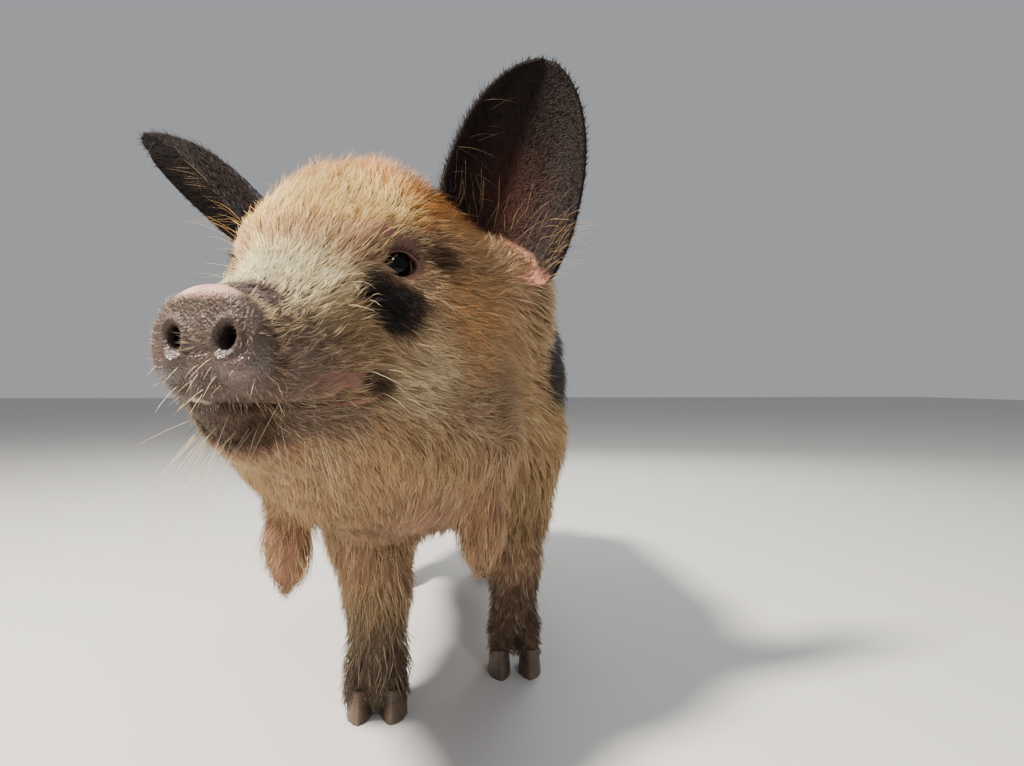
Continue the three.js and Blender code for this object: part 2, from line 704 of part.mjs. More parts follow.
// Hair locks. Each is a flat tapered blade that leaves the flesh and bends along the way the coat lies.
function seeded(seed) {
  let state = seed;
  return () => {
    state = (state + 0x6d2b79f5) | 0;
    let t = Math.imul(state ^ (state >>> 15), 1 | state);
    t = (t + Math.imul(t ^ (t >>> 7), 61 | t)) ^ t;
    return ((t ^ (t >>> 14)) >>> 0) / 4294967296;
  };
}

// A blade through a path of points, which faces the way `outAt` tells.
function blade(path, outAt, width, thick) {
  const rings = path.slice(0, -1).map((p, i) => {
    const u = i / (path.length - 1);
    const along = path[i + 1].clone().sub(p).normalize();
    const across = along.clone().cross(outAt(p)).normalize();
    const up = across.clone().cross(along).normalize();
    const half = (width / 2) * (i === 0 ? 0.7 : sqrt(1 - u ** 2) * 1.06);
    const deep = (thick / 2) * lerp(1.15, 0.6, u);
    return [[-half, -deep * 0.4], [0, deep], [half, -deep * 0.4], [0, -deep]].map(([a, b]) =>
      p.clone().addScaledVector(across, a).addScaledVector(up, b),
    );
  });
  return solid(loft([...rings, [path.at(-1)]]));
}

function lock(root, lie, { length, width, thick, lift }) {
  const path = [[-0.08, -3.2], [0.24, 0.5], [0.62, lerp(0.8, lift, 0.4)], [1, lift]];
  const points = path.map(([u, height]) =>
    drawOn(flesh, root.clone().addScaledVector(lie, u * length), height, 4),
  );
  return blade(points, (p) => normalAt(flesh, p).normalize(), width, thick);
}

// Spreads locks over a stretch of coat, no two roots nearer than the spacing.
function spreadLocks(seed, wanted, spacing, { start, belongs, lieAt, size }) {
  const random = seeded(seed);
  const roots = [];
  const locks = [];
  for (let tries = 0; tries < wanted * 60 && locks.length < wanted; tries++) {
    const p = drawOn(flesh, start(random), 0, 6);
    const off = abs(flesh(p.x, p.y, p.z)) > 0.5 || !belongs(p);
    if (off || roots.some((r) => r.distanceTo(p) < spacing)) continue;
    roots.push(p);
    const out = normalAt(flesh, p).normalize();
    const stray = at(random() - 0.5, random() - 0.5, random() - 0.5).multiplyScalar(0.5);
    const lie = lieAt(p).add(stray);
    lie.addScaledVector(out, -lie.dot(out)).normalize();
    const scale = lerp(0.82, 1.18, random());
    const { length, width, thick, lift } = size(p);
    locks.push(lock(p, lie, { length: length * scale, width: width * scale, thick, lift: lift * scale }));
  }
  return locks;
}

const toHead = (p) => p.clone().sub(HEAD_AT).applyQuaternion(headUnturn);
const headwards = (x, y, z) => at(x, y, z).applyQuaternion(headTurn);
const aroundHead = (random) => {
  const turn = random() * 2 * PI;
  const rise = 2 * random() - 1;
  const level = sqrt(1 - rise * rise);
  return onHead(75 * level * cos(turn), 25 + 75 * level * sin(turn), -15 + 85 * rise);
};

// The crown's hair sweeps up and back, and the cheeks' hair back and down.
const crownLocks = () =>
  spreadLocks(11, 31, 9, {
    start: aroundHead,
    belongs: (p) => {
      const h = toHead(p);
      return h.z > 17 && h.y > -2 && h.y < 62 && abs(h.x) < 47;
    },
    lieAt: (p) => headwards(toHead(p).x * 0.006, 1, 0.5),
    size: () => CROWN_LOCK,
  });
const cheekLocks = () =>
  spreadLocks(23, 24, 12.5, {
    start: aroundHead,
    belongs: (p) => {
      const h = toHead(p);
      return h.z > -92 && h.z < 8 && h.y > 12 && h.y < 52 && abs(h.x) > 30;
    },
    lieAt: (p) => headwards(Math.sign(toHead(p).x) * 0.12, 1, -0.42),
    size: () => CHEEK_LOCK,
  });
const throatLocks = () =>
  spreadLocks(31, 8, 14, {
    start: aroundHead,
    belongs: (p) => {
      const h = toHead(p);
      return h.z < -88 && h.y > 2 && h.y < 42 && abs(h.x) < 36;
    },
    lieAt: () => headwards(0, 0.9, -0.5),
    size: () => CHEEK_LOCK,
  });
// The tail ends in a small tassel.
function tassel() {
  const random = seeded(71);
  const from = TAIL.getPointAt(0.9);
  return [0, 1, 2, 3, 4].map((i) => {
    const a = (i / 5) * 2 * PI;
    const out = at(cos(a), sin(a), 0);
    const down = [0, 0.3, 0.65, 1].map((u) => {
      const spread = 1.5 + 6 * u ** 1.5 * lerp(0.6, 1.2, random());
      return from.clone().addScaledVector(out, spread).add(at(0, 0, -28 * u));
    });
    return blade(down, () => out, 7, 2.6);
  });
}

const aroundTrunk = (low, high, reach) => (random) => {
  const a = (2 * random() - 1) * reach;
  return at(110 * sin(a), lerp(low, high, random()), TRUNK_Z + 110 * cos(a));
};
const behindNape = (p) => NAPE_FACE.dot(p.clone().sub(NAPE_AT)) < -2;
const aheadOfWithers = (p) => WITHERS_FACE.dot(p.clone().sub(WITHERS_AT)) > 2;
const neckLocks = () =>
  spreadLocks(47, 20, 16, {
    start: aroundTrunk(-150, -60, 1.9),
    belongs: (p) => behindNape(p) && aheadOfWithers(p) && p.z > 150,
    lieAt: (p) => at(0, 1, -0.4 * smoothstep(abs(p.x), 10, 60)),
    size: () => NAPE_LOCK,
  });
// Bristles run down the middle of the back.
const backLocks = () =>
  spreadLocks(59, 27, 20, {
    start: aroundTrunk(-90, 215, 0.32),
    belongs: (p) => !aheadOfWithers(p),
    lieAt: (p) => at(p.x * 0.006, 1, 0),
    size: () => NAPE_LOCK,
  });

// A claw is a blunt wedge with a flat sole, higher in front, and straighter on its inner side.
const CORONET = { heel: 8.5, toe: 17 };
function claw(foot, out) {
  const x = foot.x + out;
  const rings = [0, 0.5, 1].map((h) =>
    Array.from({ length: 12 }, (_, i) => {
      const a = (i / 12) * 2 * PI;
      const along = cos(a); // 1 at the toe
      const sideways = sin(a);
      const pinch = along > 0 ? 1 - 0.42 * along ** 2 : 1;
      const shrink = lerp(1, 0.86, h);
      const outer = Math.sign(sideways) === Math.sign(out) ? 1.12 : 0.86;
      const y = foot.y - 6 - (CLAW.length / 2) * along * shrink + h * 2.6;
      const top = lerp(CORONET.heel, CORONET.toe, (along + 1) / 2);
      return at(x + CLAW.halfWidth * sideways * pinch * shrink * outer, y, top * h);
    }),
  );
  return solid(loft(rings));
}

// The plane of the coronets, where flesh ends and horn begins.
function coronetPlane(foot) {
  const normal = at(0, CORONET.toe - CORONET.heel, CLAW.length * 0.86).normalize();
  return { point: at(0, foot.y - 6 + 2.6, (CORONET.toe + CORONET.heel) / 2 + GAP), normal };
}

function dewclaw(foot, out, grow = 0) {
  const x = foot.x + out * 1.25;
  const rings = [[0, 4.4 + grow], [0.5, 3.8 + grow], [1, 1.6 + grow]].map(([s, radius]) =>
    Array.from({ length: 7 }, (_, i) => {
      const a = (i / 7) * 2 * PI;
      const y = foot.y + 18 + 3 * s + radius * 0.8 * sin(a);
      return at(x + out * 0.06 * s + radius * cos(a), y, 17 + grow - (9 + 2 * grow) * s);
    }),
  );
  return solid(loft(rings));
}

const parts = new Map();
const COLOURS = {
  coat: [0xc9995c, 0.85],
  dark: [0x2b2523, 0.8],
  snout: [0x8d6a60, 0.55],
  eye: [0x120c0a, 0.12],
  wattle: [0xcf9f84, 0.75],
  horn: [0x4b3d33, 0.5],
};
const materials = Object.fromEntries(
  Object.entries(COLOURS).map(([name, [color, roughness]]) => [
    name,
    new THREE.MeshStandardMaterial({ color, roughness, metalness: 0 }),
  ]),
);

function addPart(name, s, material) {
  const mesh = new THREE.Mesh(geometryOf(cleaned(largest(s))), materials[material]);
  mesh.name = name;
  parts.set(name, mesh);
}

// Legs, each parted from the trunk by a slanting block, and cut level with its coronets
const legBlock = (foot, grow) => {
  const { wide, high, frontDeep, hindDeep, frontLean, hindLean } = LEG_BLOCK;
  const block = new THREE.BoxGeometry(wide + 2 * grow, (foot.hind ? hindDeep : frontDeep) + 2 * grow, high);
  block.translate(0, 0, grow - high / 2);
  block.rotateY(-foot.side * degToRad(foot.hind ? hindLean : frontLean));
  const top = foot.hind ? at(foot.side * 50, foot.y + 14, 122) : at(foot.x + foot.side * 4, foot.y + 8, 110);
  return solid(block.translate(top.x, top.y, top.z));
};
const legRoom = together(Object.values(FEET).map((foot) => legBlock(foot, GAP)));

// Head, snout and jaw
const lidPieces = [1, -1].map(lids);
const ears = { left: ear(EARS.left, 1), right: ear(EARS.right, -1) };
const wattles = { left: wattle(1), right: wattle(-1) };
const roomForAdded = together([
  ear(EARS.left, 1, EAR_ROOM),
  ear(EARS.right, -1, EAR_ROOM),
  wattle(1, GAP),
  wattle(-1, GAP),
  tail(GAP),
]);
const lips = [lip(3.1), lip(-3.1)];
let face = together([headFlesh, ...lidPieces.map((l) => l.shell), ...lips]);
face = together([face, ...crownLocks(), ...cheekLocks(), ...throatLocks()]);
face = ahead(face, apart(NAPE_AT, NAPE_FACE, 1), NAPE_FACE);
face = face.subtract(together(lidPieces.map((l) => l.opening)));
face = face.subtract(together([1, -1].map((s) => ball(eyeCentre(s), EYE_RADIUS + GAP))));
face = face.subtract(roomForAdded).subtract(legRoom);
const jaw = face.intersect(jawBlock(0));
const upper = face.subtract(jawBlock(GAP));
const snoutWhole = solid(skin(flesh, ...BOXES.snout, CELLS.snout), 0);
const snout = together([snoutWhole, ...lips, discRim()])
  .intersect(snoutBlock(0))
  .subtract(together([jawBlock(GAP), nostril(1), nostril(-1)]));
addPart("head", upper.subtract(snoutBlock(GAP)), "coat");
addPart("snout", snout, "snout");
addPart("lower_jaw", jaw, "coat");
addPart("ear_left", ears.left, "dark");
addPart("ear_right", ears.right, "dark");
addPart("eye_left", ball(eyeCentre(1), EYE_RADIUS), "eye");
addPart("eye_right", ball(eyeCentre(-1), EYE_RADIUS), "eye");
addPart("wattle_left", wattles.left, "wattle");
addPart("wattle_right", wattles.right, "wattle");

const boxRound = ({ x, y }, { halfWide, ahead: before, behind, low, high }) => [
  at(x - halfWide, y - before, low),
  at(x + halfWide, y + behind, high),
];
for (const [name, foot] of Object.entries(FEET)) {
  const { point, normal } = coronetPlane(foot);
  const whole = solid(skin(flesh, ...boxRound(foot, LEG_BOX), CELLS.leg), 0).intersect(legBlock(foot, 0));
  const leg = whole.trimByPlane([0, 0, 1], FOOT_CUT + GAP).subtract(roomForAdded);
  addPart("leg_" + name, leg, "coat");
  const footWhole = solid(skin(flesh, ...boxRound(foot, FOOT_BOX), CELLS.foot), 0);
  const lower = ahead(footWhole.trimByPlane([0, 0, -1], -FOOT_CUT), point, normal);
  const dewclaws = [DEWCLAW_APART, -DEWCLAW_APART].map((out) => dewclaw(foot, out));
  const room = [DEWCLAW_APART, -DEWCLAW_APART].map((out) => dewclaw(foot, out, GAP));
  addPart("foot_" + name, lower.subtract(together(room)), "coat");
  [CLAW.apart, -CLAW.apart].forEach((out) => {
    const place = out * foot.side > 0 ? "outer" : "inner";
    addPart(`hoof_${name}_${place}`, claw(foot, out), "horn");
  });
  dewclaws.forEach((d, i) => {
    const place = (i === 0 ? 1 : -1) * foot.side > 0 ? "outer" : "inner";
    addPart(`dewclaw_${name}_${place}`, d, "horn");
  });
}

// Neck and torso
const neckFlesh = solid(skin(flesh, ...BOXES.neck, CELLS.neck), 0);
const neckWhole = together([neckFlesh, ...neckLocks()]);
const neck = ahead(
  ahead(neckWhole, apart(NAPE_AT, NAPE_FACE, -1), NAPE_FACE.clone().negate()),
  apart(WITHERS_AT, WITHERS_FACE, 1),
  WITHERS_FACE,
)
  .subtract(roomForAdded)
  .subtract(legRoom);
addPart("neck", neck, "coat");
const trunkFlesh = solid(skin(flesh, ...BOXES.trunk, CELLS.trunk), 0);
const trunkWhole = together([trunkFlesh, ...backLocks()]);
let torso = ahead(trunkWhole, apart(WITHERS_AT, WITHERS_FACE, -1), WITHERS_FACE.clone().negate());
torso = torso.subtract(legRoom).subtract(roomForAdded);
addPart("torso", torso, "coat");
addPart("tail", together([tail(), ...tassel()]), "coat");

const piglet = new THREE.Group();
piglet.name = "kunekune_piglet";
piglet.position.copy(FRAME_SHIFT);
piglet.add(...parts.values());
export default piglet;
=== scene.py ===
import math

import bpy
import numpy as np
from mathutils import Matrix, Vector, kdtree


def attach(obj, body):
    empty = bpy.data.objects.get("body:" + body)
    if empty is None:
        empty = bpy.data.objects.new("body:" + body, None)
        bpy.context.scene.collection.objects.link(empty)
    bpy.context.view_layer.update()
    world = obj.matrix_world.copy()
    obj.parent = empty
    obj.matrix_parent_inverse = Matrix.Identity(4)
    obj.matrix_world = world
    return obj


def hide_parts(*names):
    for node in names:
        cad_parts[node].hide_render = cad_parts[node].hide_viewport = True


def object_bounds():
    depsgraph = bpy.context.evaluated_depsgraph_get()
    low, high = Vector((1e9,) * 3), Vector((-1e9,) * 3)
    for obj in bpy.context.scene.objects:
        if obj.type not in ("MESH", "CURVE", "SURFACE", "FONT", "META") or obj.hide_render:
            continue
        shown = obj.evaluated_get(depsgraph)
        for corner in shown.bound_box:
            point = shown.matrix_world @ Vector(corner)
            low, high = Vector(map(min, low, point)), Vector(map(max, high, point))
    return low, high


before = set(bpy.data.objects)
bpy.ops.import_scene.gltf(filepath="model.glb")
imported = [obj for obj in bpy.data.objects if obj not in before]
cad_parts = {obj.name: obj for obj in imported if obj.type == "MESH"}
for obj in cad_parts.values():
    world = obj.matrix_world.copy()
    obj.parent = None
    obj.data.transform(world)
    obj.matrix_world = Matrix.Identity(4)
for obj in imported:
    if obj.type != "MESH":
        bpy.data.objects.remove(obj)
cad_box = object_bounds()

MM = 0.001
FRAME_SHIFT = np.array((39.85, 6.65, 0.0))

# Grain of the remeshing, longest move of a point in one step, and how near the hair keeps to the solids' box
SKIN_VOXEL = 3.2
HORN_VOXEL = 0.7
LONGEST_MOVE = 7
BOX_SLACK = 0.022
FLOOR_GAP = 0.6

# Sizes of the trunk
WITHERS = 262.0
BRISKET = 92.0
CHEST_WIDTH = 146.0
BELLY_WIDTH = 158.0
CHEST_FRONT = -124.0
RUMP_BACK = 238.0
TRUNK_Z = (WITHERS + BRISKET) / 2
TRUNK_DEPTH = WITHERS - BRISKET

# Where the point between the eyes is, and how the head is held
HEAD_AT = np.array((-48.2, -177.3, 234.9))
HEAD_TURN = math.radians(-17)
HEAD_LIFT = math.radians(2)

# Sizes of the head, in its own frame: x to its left, y backwards, z up, from between the eyes
SNOUT_REACH = 98.0
SNOUT_DROP = 38.0
DISC_HALF = (22.5, 8.0, 20.5)
EYE_AT = np.array((31.3, -2.9, -2.4))
EYES = {side: EYE_AT * (side, 1, 1) for side in (1, -1)}
EYE_RADIUS = 10.5
EYE_GAZE = np.array((0.64, -0.77, 0.02))
LID_THICKNESS = 2.1
LID_OPENING = (7.6, 5.2)
LID_SHIFT = 1.7
LID_DROOP = 0.22
NOSE_FOLDS = np.array((10, -80, -20)), np.array((15, 8, 7))
MOUTH_LINE = ((-118, -57), (-80, -62), (-56, -63), (-30, -55))

# Ears, wattles, feet and tail, in the whole pig's frame
EAR_HALF_WIDTH = 38.0
EAR_ROOT_HALF_WIDTH = 31.0
EAR_SLANT = 12.0
EAR_THICKNESS = 3.0
EARS = {
    "left": dict(side=1, root=(32, -137, 252), tip=(60, -135, 351), opens=(-0.12, -0.97, 0.05), cup=17),
    "right": dict(side=-1, root=(-87, -134, 256), tip=(-160, -98, 309), opens=(-0.68, -0.32, -0.66), cup=15),
}
EAR_PATCH = np.array((40, -149, 231)), np.array((15, 17, 15))
WATTLE_ROOTS = {1: (22, -150, 131), -1: (-72, -148, 122)}
FEET = {
    "front_right": (-1, -32, -112, False),
    "front_left": (1, 47, -56, False),
    "hind_right": (-1, -44, 150, True),
    "hind_left": (1, 44, 190, True),
}
CLAWS_AT = (8.6, -8.6)
DEWCLAWS_AT = (7.5, -7.5)
FETLOCK_Z = 30.0
TAIL_LINE = ((0, 222, 226), (0, 242, 224), (3, 254, 206), (10, 252, 180), (8, 246, 158), (2, 250, 140))


def turn_about_z(angle):
    c, s = math.cos(angle), math.sin(angle)
    return np.array(((c, -s, 0), (s, c, 0), (0, 0, 1.0)))


def turn_about_x(angle):
    c, s = math.cos(angle), math.sin(angle)
    return np.array(((1.0, 0, 0), (0, c, -s), (0, s, c)))


HEAD_AXES = turn_about_z(HEAD_TURN) @ turn_about_x(HEAD_LIFT)


def on_head(*place):
    return HEAD_AXES @ np.array(place, float) + HEAD_AT


def to_head(places):
    return (places - HEAD_AT) @ HEAD_AXES


def from_head(places):
    return places @ HEAD_AXES.T + HEAD_AT


def in_frame(places):
    return (np.asarray(places, float) + FRAME_SHIFT) * MM


def unit(v):
    return v / np.maximum(np.linalg.norm(v, axis=-1, keepdims=True), 1e-9)


def smooth(x, low, high):
    t = np.clip((x - low) / (high - low), 0, 1)
    return t * t * (3 - 2 * t)


def fade(x, low, high):
    return 1 - smooth(x, low, high)


def far_from(p, centre, half=(1, 1, 1)):
    """How far each point is from a centre, as a share of the half sizes along each axis."""
    return np.linalg.norm((p - np.array(centre)) / np.array(half), axis=1)


def sum_along(*parts):
    """Adds up how far to go and which way, for many points at once."""
    return sum(np.multiply.outer(far, way) for far, way in parts)


def bell(x, middle, reach):
    return np.exp(-(((x - middle) / reach) ** 2))


def mottle(p, scale, seed):
    """A soft, even, repeatable wander between -1 and 1 over the body."""
    rng = np.random.default_rng(seed)
    total = np.zeros(len(p))
    for _ in range(5):
        direction = unit(rng.normal(size=3)) * rng.uniform(0.6, 1.6) / scale
        total += np.sin(p @ direction + rng.uniform(0, 6.3))
    return total / 3.2


# Flesh is a soft union of eggs and tapers. Each form is kept as its sizes, to be modelled and measured from.


def egg(centre, half, soft, turn=0.0):
    return dict(centre=np.array(centre, float), half=np.array(half, float), turn=turn, soft=soft)


def taper(start, end, thick, thin, soft):
    return dict(start=np.array(start, float), end=np.array(end, float), radii=(thick, thin), soft=soft)


def height_over(form, p):
    if "half" in form:
        q = (p - form["centre"]) @ turn_about_x(-form["turn"]).T
        near = np.linalg.norm(q / form["half"], axis=1)
        slope = np.maximum(np.linalg.norm(q / form["half"] ** 2, axis=1), 1e-6)
        return near * (near - 1) / slope
    along = form["end"] - form["start"]
    t = np.clip((p - form["start"]) @ along / (along @ along), 0, 1)
    thick, thin = form["radii"]
    return np.linalg.norm(p - form["start"] - t[:, None] * along, axis=1) - (thick + (thin - thick) * t)


def soft_union(heights, softness):
    d = np.full(len(heights[0]), 1e3)
    for e, soft in zip(heights, softness):
        h = np.maximum(soft - np.abs(d - e), 0) / soft
        d = np.minimum(d, e) - h * h * soft / 4
    return d


def either_side(make):
    return [make(1), make(-1)]


TRUNK = [
    egg((0, -8, TRUNK_Z + 3), (CHEST_WIDTH / 2, 118, TRUNK_DEPTH / 2 - 2), 20),
    egg((0, 78, TRUNK_Z - 3), (BELLY_WIDTH / 2, 126, TRUNK_DEPTH / 2 + 1), 30),
    egg((0, RUMP_BACK - 82, TRUNK_Z + 6), (66, 82, 74), 24),
    *either_side(lambda s: egg((s * 40, -70, TRUNK_Z - 8), (29, 46, 62), 18, 0.25)),
    *either_side(lambda s: egg((s * 38, RUMP_BACK - 62, TRUNK_Z - 14), (38, 58, 66), 20, 0.2)),
    egg((0, CHEST_FRONT + 36, BRISKET + 52), (50, 40, 50), 22),
    taper((-4, -40, TRUNK_Z + 14), on_head(4, 52, -22), 74, 61, 30),
    egg(on_head(20, 46, -86), (58, 46, 42), 26),
    egg((31, -122, 222), (33, 30, 33), 20),
    egg(on_head(-43, 40, 4), (20, 30, 28), 20),
]
HEAD = [
    egg((0, 36, 4), (50, 46, 45), 10),
    egg((0, 4, 6), (36, 36, 30), 18),
    *either_side(lambda s: egg((s * 28, -1, 9), (12, 20, 9), 9)),
    taper((0, -10, -27), (0, -76, -39), 34, 22.5, 22),
    *either_side(lambda s: egg((s * 38, 22, -34), (27, 40, 38), 20)),
    *either_side(lambda s: taper((s * 15, -74, -50), (s * 25, -34, -50), 11, 14, 10)),
    taper((0, -76, -64), (0, -14, -74), 12.5, 24, 12),
    *either_side(lambda s: taper((s * 8, -60, -66), (s * 30, 10, -72), 12, 30, 16)),
    egg((0, 26, -88), (48, 42, 38), 22),
    egg((0, -SNOUT_REACH + DISC_HALF[1] - 1, -SNOUT_DROP), DISC_HALF, 7),
    *[egg(eye, [EYE_RADIUS + LID_THICKNESS] * 3, 4) for eye in EYES.values()],
]


def leg(side, x, y, hind):
    if hind:
        shoulder, elbow, knee = (side * 42, y - 12, 138), (side * 46, y + 10, 98), (x, y + 20, 72)
        radii = (38, 25, 17, 13.5)
    else:
        shoulder = (side * 42, y + (-78 - y) * 0.6, 140)
        elbow, knee = (x + (side * 44 - x) * 0.4, y + 4, 100), (x, y + 1, 66)
        radii = (33, 22, 16.5, 14)
    fetlock = (x, y + (8 if hind else 3), FETLOCK_Z)
    return [
        taper(shoulder, elbow, radii[0], radii[1], 22),
        taper(elbow, knee, radii[1], radii[2], 10),
        taper(knee, fetlock, radii[2], radii[3], 8),
        egg((fetlock[0], fetlock[1] + 2, fetlock[2] - 3), (14.5, 13.5, 11), 8),
        *[taper((x + o * 0.9, y - 1, 24), (x + o, y - 5, 11), 9.5, 8.4, 5) for o in CLAWS_AT],
        *[taper((x + o, y + 11, 27), (x + o * 1.25, y + 17, 20), 6, 4.6, 4) for o in DEWCLAWS_AT],
    ]


def wattle(side):
    x, y, z = WATTLE_ROOTS[side]
    return [
        taper((x, y, z + 9), (x + side, y, z - 18), 7.6, 10, 6),
        egg((x + side, y, z - 18.5), (11.2, 9.7, 27), 5),
    ]


def bending_line(corners, steps):
    """Points evenly along a smooth line through the corners."""
    c = np.array(corners, float)
    c = np.vstack((2 * c[0] - c[1], c, 2 * c[-1] - c[-2]))
    line = []
    for i in range(1, len(c) - 2):
        for t in np.arange(steps) / steps:
            a, b, d, e = c[i - 1 : i + 3]
            bent = (2 * a - 5 * b + 4 * d - e) * t**2 + (3 * b - a - 3 * d + e) * t**3
            line.append(0.5 * (2 * b + (d - a) * t + bent))
    return np.array([*line, c[-2]])


def tail():
    line = bending_line(TAIL_LINE, 3)
    radii = 8.3 - 5.3 * np.linspace(0, 1, len(line)) ** 0.7
    return [taper(a, b, ra, rb, 3) for a, b, ra, rb in zip(line, line[1:], radii, radii[1:])]


LIMBS = [leg(*foot) for foot in FEET.values()]
HANGING = [*[wattle(side) for side in (1, -1)], tail()]


def joined_height(forms, p):
    return soft_union([height_over(f, p) for f in forms], [f["soft"] for f in forms])


def flesh(p):
    """How far each point stands over the flesh, with a minus sign inside it."""
    heights = [joined_height(TRUNK, p), joined_height(HEAD, to_head(p))]
    heights += [joined_height(forms, p) for forms in LIMBS + HANGING]
    softness = [18] * (len(heights) - len(HANGING)) + [9] * len(HANGING)
    return soft_union(heights, softness)


def in_pieces(work, p, *more, size=60000):
    """Runs a function over long arrays a stretch at a time."""
    runs = [work(p[i : i + size], *[m[i : i + size] for m in more]) for i in range(0, len(p), size)]
    return np.concatenate(runs)


def outward(p, reach=0.5):
    here = flesh(p)
    slopes = [flesh(p + np.eye(3)[k] * reach) - here for k in range(3)]
    return np.stack(slopes, 1) / reach, here


def drawn_to(p, height, rounds=2):
    """Moves points along the slope of the flesh until they stand at a height over it."""
    for _ in range(rounds):
        slope, here = outward(p)
        steep = np.maximum((slope**2).sum(1), 0.08)
        move = slope * ((height - here) / steep)[:, None]
        far = np.linalg.norm(move, axis=1)
        p = p + move * np.minimum(LONGEST_MOVE / np.maximum(far, 1e-9), 1)[:, None]
    return p


# Modelling helpers


def switch_to(mode):
    bpy.ops.object.mode_set(mode=mode)


def start_fresh():
    if bpy.context.object and bpy.context.object.mode != "OBJECT":
        switch_to("OBJECT")
    bpy.ops.object.select_all(action="DESELECT")


def make_active(piece):
    start_fresh()
    piece.select_set(True)
    bpy.context.view_layer.objects.active = piece


def read(parts, what, wide=3, kind=float):
    found = np.empty(len(parts) * wide, kind)
    parts.foreach_get(what, found)
    return found.reshape(-1, wide)


def places_of(piece):
    return read(piece.data.vertices, "co") / MM - FRAME_SHIFT


def write(parts, what, values, kind=np.float32):
    parts.foreach_set(what, np.asarray(values, kind).ravel())


def put_places(piece, places):
    write(piece.data.vertices, "co", in_frame(places))
    piece.data.update()


def faces_at(piece):
    return read(piece.data.polygons, "center") / MM - FRAME_SHIFT


def with_modifier(piece, kind, **settings):
    make_active(piece)
    modifier = piece.modifiers.new(kind.title(), kind)
    for name, value in settings.items():
        setattr(modifier, name, value)
    bpy.ops.object.modifier_apply(modifier=modifier.name)


def select_parts(piece, kind, chosen):
    make_active(piece)
    switch_to("EDIT")
    bpy.ops.mesh.select_mode(type=kind)
    bpy.ops.mesh.select_all(action="DESELECT")
    switch_to("OBJECT")
    parts = piece.data.polygons if kind == "FACE" else piece.data.vertices
    write(parts, "select", chosen, bool)
    switch_to("EDIT")


def on_all_faces(piece, operator, **settings):
    select_parts(piece, "FACE", np.ones(len(piece.data.polygons), bool))
    operator(**settings)
    start_fresh()


def subdivided(piece, chosen):
    select_parts(piece, "FACE", chosen)
    bpy.ops.mesh.subdivide(number_cuts=1)
    start_fresh()


def add_ball(centre, half, axes=((1, 0, 0), (0, 1, 0), (0, 0, 1)), fineness=4):
    start_fresh()
    bpy.ops.mesh.primitive_ico_sphere_add(
        subdivisions=fineness,
        radius=MM,
        location=in_frame(centre),
        rotation=Matrix(axes).to_euler(),
        scale=tuple(half),
    )
    return bpy.context.object


def in_scene(name, data):
    piece = bpy.data.objects.new(name, data)
    bpy.context.scene.collection.objects.link(piece)
    return piece


def add_stretch(start, end, thick, thin):
    start_fresh()
    along = Vector(end - start)
    bpy.ops.mesh.primitive_cone_add(
        vertices=32,
        radius1=thick * MM,
        radius2=thin * MM,
        depth=along.length * MM,
        location=in_frame((start + end) / 2),
        rotation=along.to_track_quat("Z", "Y").to_euler(),
    )
    return bpy.context.object


def add_form(form, on_the_head=False):
    place, axes = (lambda p: on_head(*p), HEAD_AXES) if on_the_head else (lambda p: p, np.eye(3))
    if "half" in form:
        return [add_ball(place(form["centre"]), form["half"], axes @ turn_about_x(form["turn"]))]
    start, end = place(form["start"]), place(form["end"])
    ends = [add_ball(p, [r] * 3, fineness=3) for p, r in zip((start, end), form["radii"])]
    return [*ends, add_stretch(start, end, *form["radii"])]


def join_all(pieces, name):
    start_fresh()
    for piece in pieces:
        piece.select_set(True)
    bpy.context.view_layer.objects.active = pieces[0]
    bpy.ops.object.join()
    bpy.ops.object.transform_apply()
    whole = bpy.context.object
    whole.name = whole.data.name = name
    return whole


# The skin


def coronet(foot):
    """A point and the upward normal of the plane where a foot's flesh ends and its horn begins."""
    _, x, y, _ = foot
    normal = unit(np.array((0, 8.5, 29 * 0.86)))
    return np.array((x, y - 3.4, 12.75 + 0.36)), normal


def flattened_at_coronets(p):
    for foot in FEET.values():
        point, normal = coronet(foot)
        near = (np.abs(p[:, 0] - foot[1]) < 30) & (np.abs(p[:, 1] - foot[2]) < 40) & (p[:, 2] < 40)
        below = np.minimum((p - point) @ normal, 0) * near
        p = p - below[:, None] * normal
    return p


def mouth_height(y):
    t = np.linspace(0, 1, 60)[:, None]
    a, b, c, d = np.array(MOUTH_LINE, float)
    line = (1 - t) ** 3 * a + 3 * (1 - t) ** 2 * t * b + 3 * (1 - t) * t**2 * c + t**3 * d
    return np.interp(y, line[:, 0], line[:, 1])


def eye_axes(side):
    """An eye's middle, the way its lids open, and the ways across and up them."""
    out = unit(HEAD_AXES @ (EYE_GAZE * (side, 1, 1)))
    across = unit(np.cross((0, 0, 1), out))
    return on_head(*EYES[side]), out, across, np.cross(out, across)


def ear_axes(ear):
    """An ear's own directions: towards its tip, towards the crown across its leaf, and out of its cup."""
    axis = unit(np.subtract(ear["tip"], ear["root"]))
    across = unit(np.cross(ear["opens"], axis))
    return axis, across * ear["side"], unit(np.cross(axis, across))


def near_eyes(h):
    return np.minimum(*[far_from(h, eye) for eye in EYES.values()])


def on_disc(h):
    return fade(h[:, 1], -88, -83)


def nostril_spread(h):
    """How far out from a nostril's middle each point is, 1 at the nostril's edge."""
    x, z = np.abs(h[:, 0]), h[:, 2] + 36
    return np.hypot((x - 10.2 - 0.12 * z) / 3.1, z / 4.3)


def mouth_groove(h, reach, low, high):
    """1 along the parting of the lips, and 0 from one place to another back along the head."""
    x, y, z = h.T
    return bell(z - mouth_height(y), 0, reach) * fade(y, low, high) * (np.abs(x) < 60)


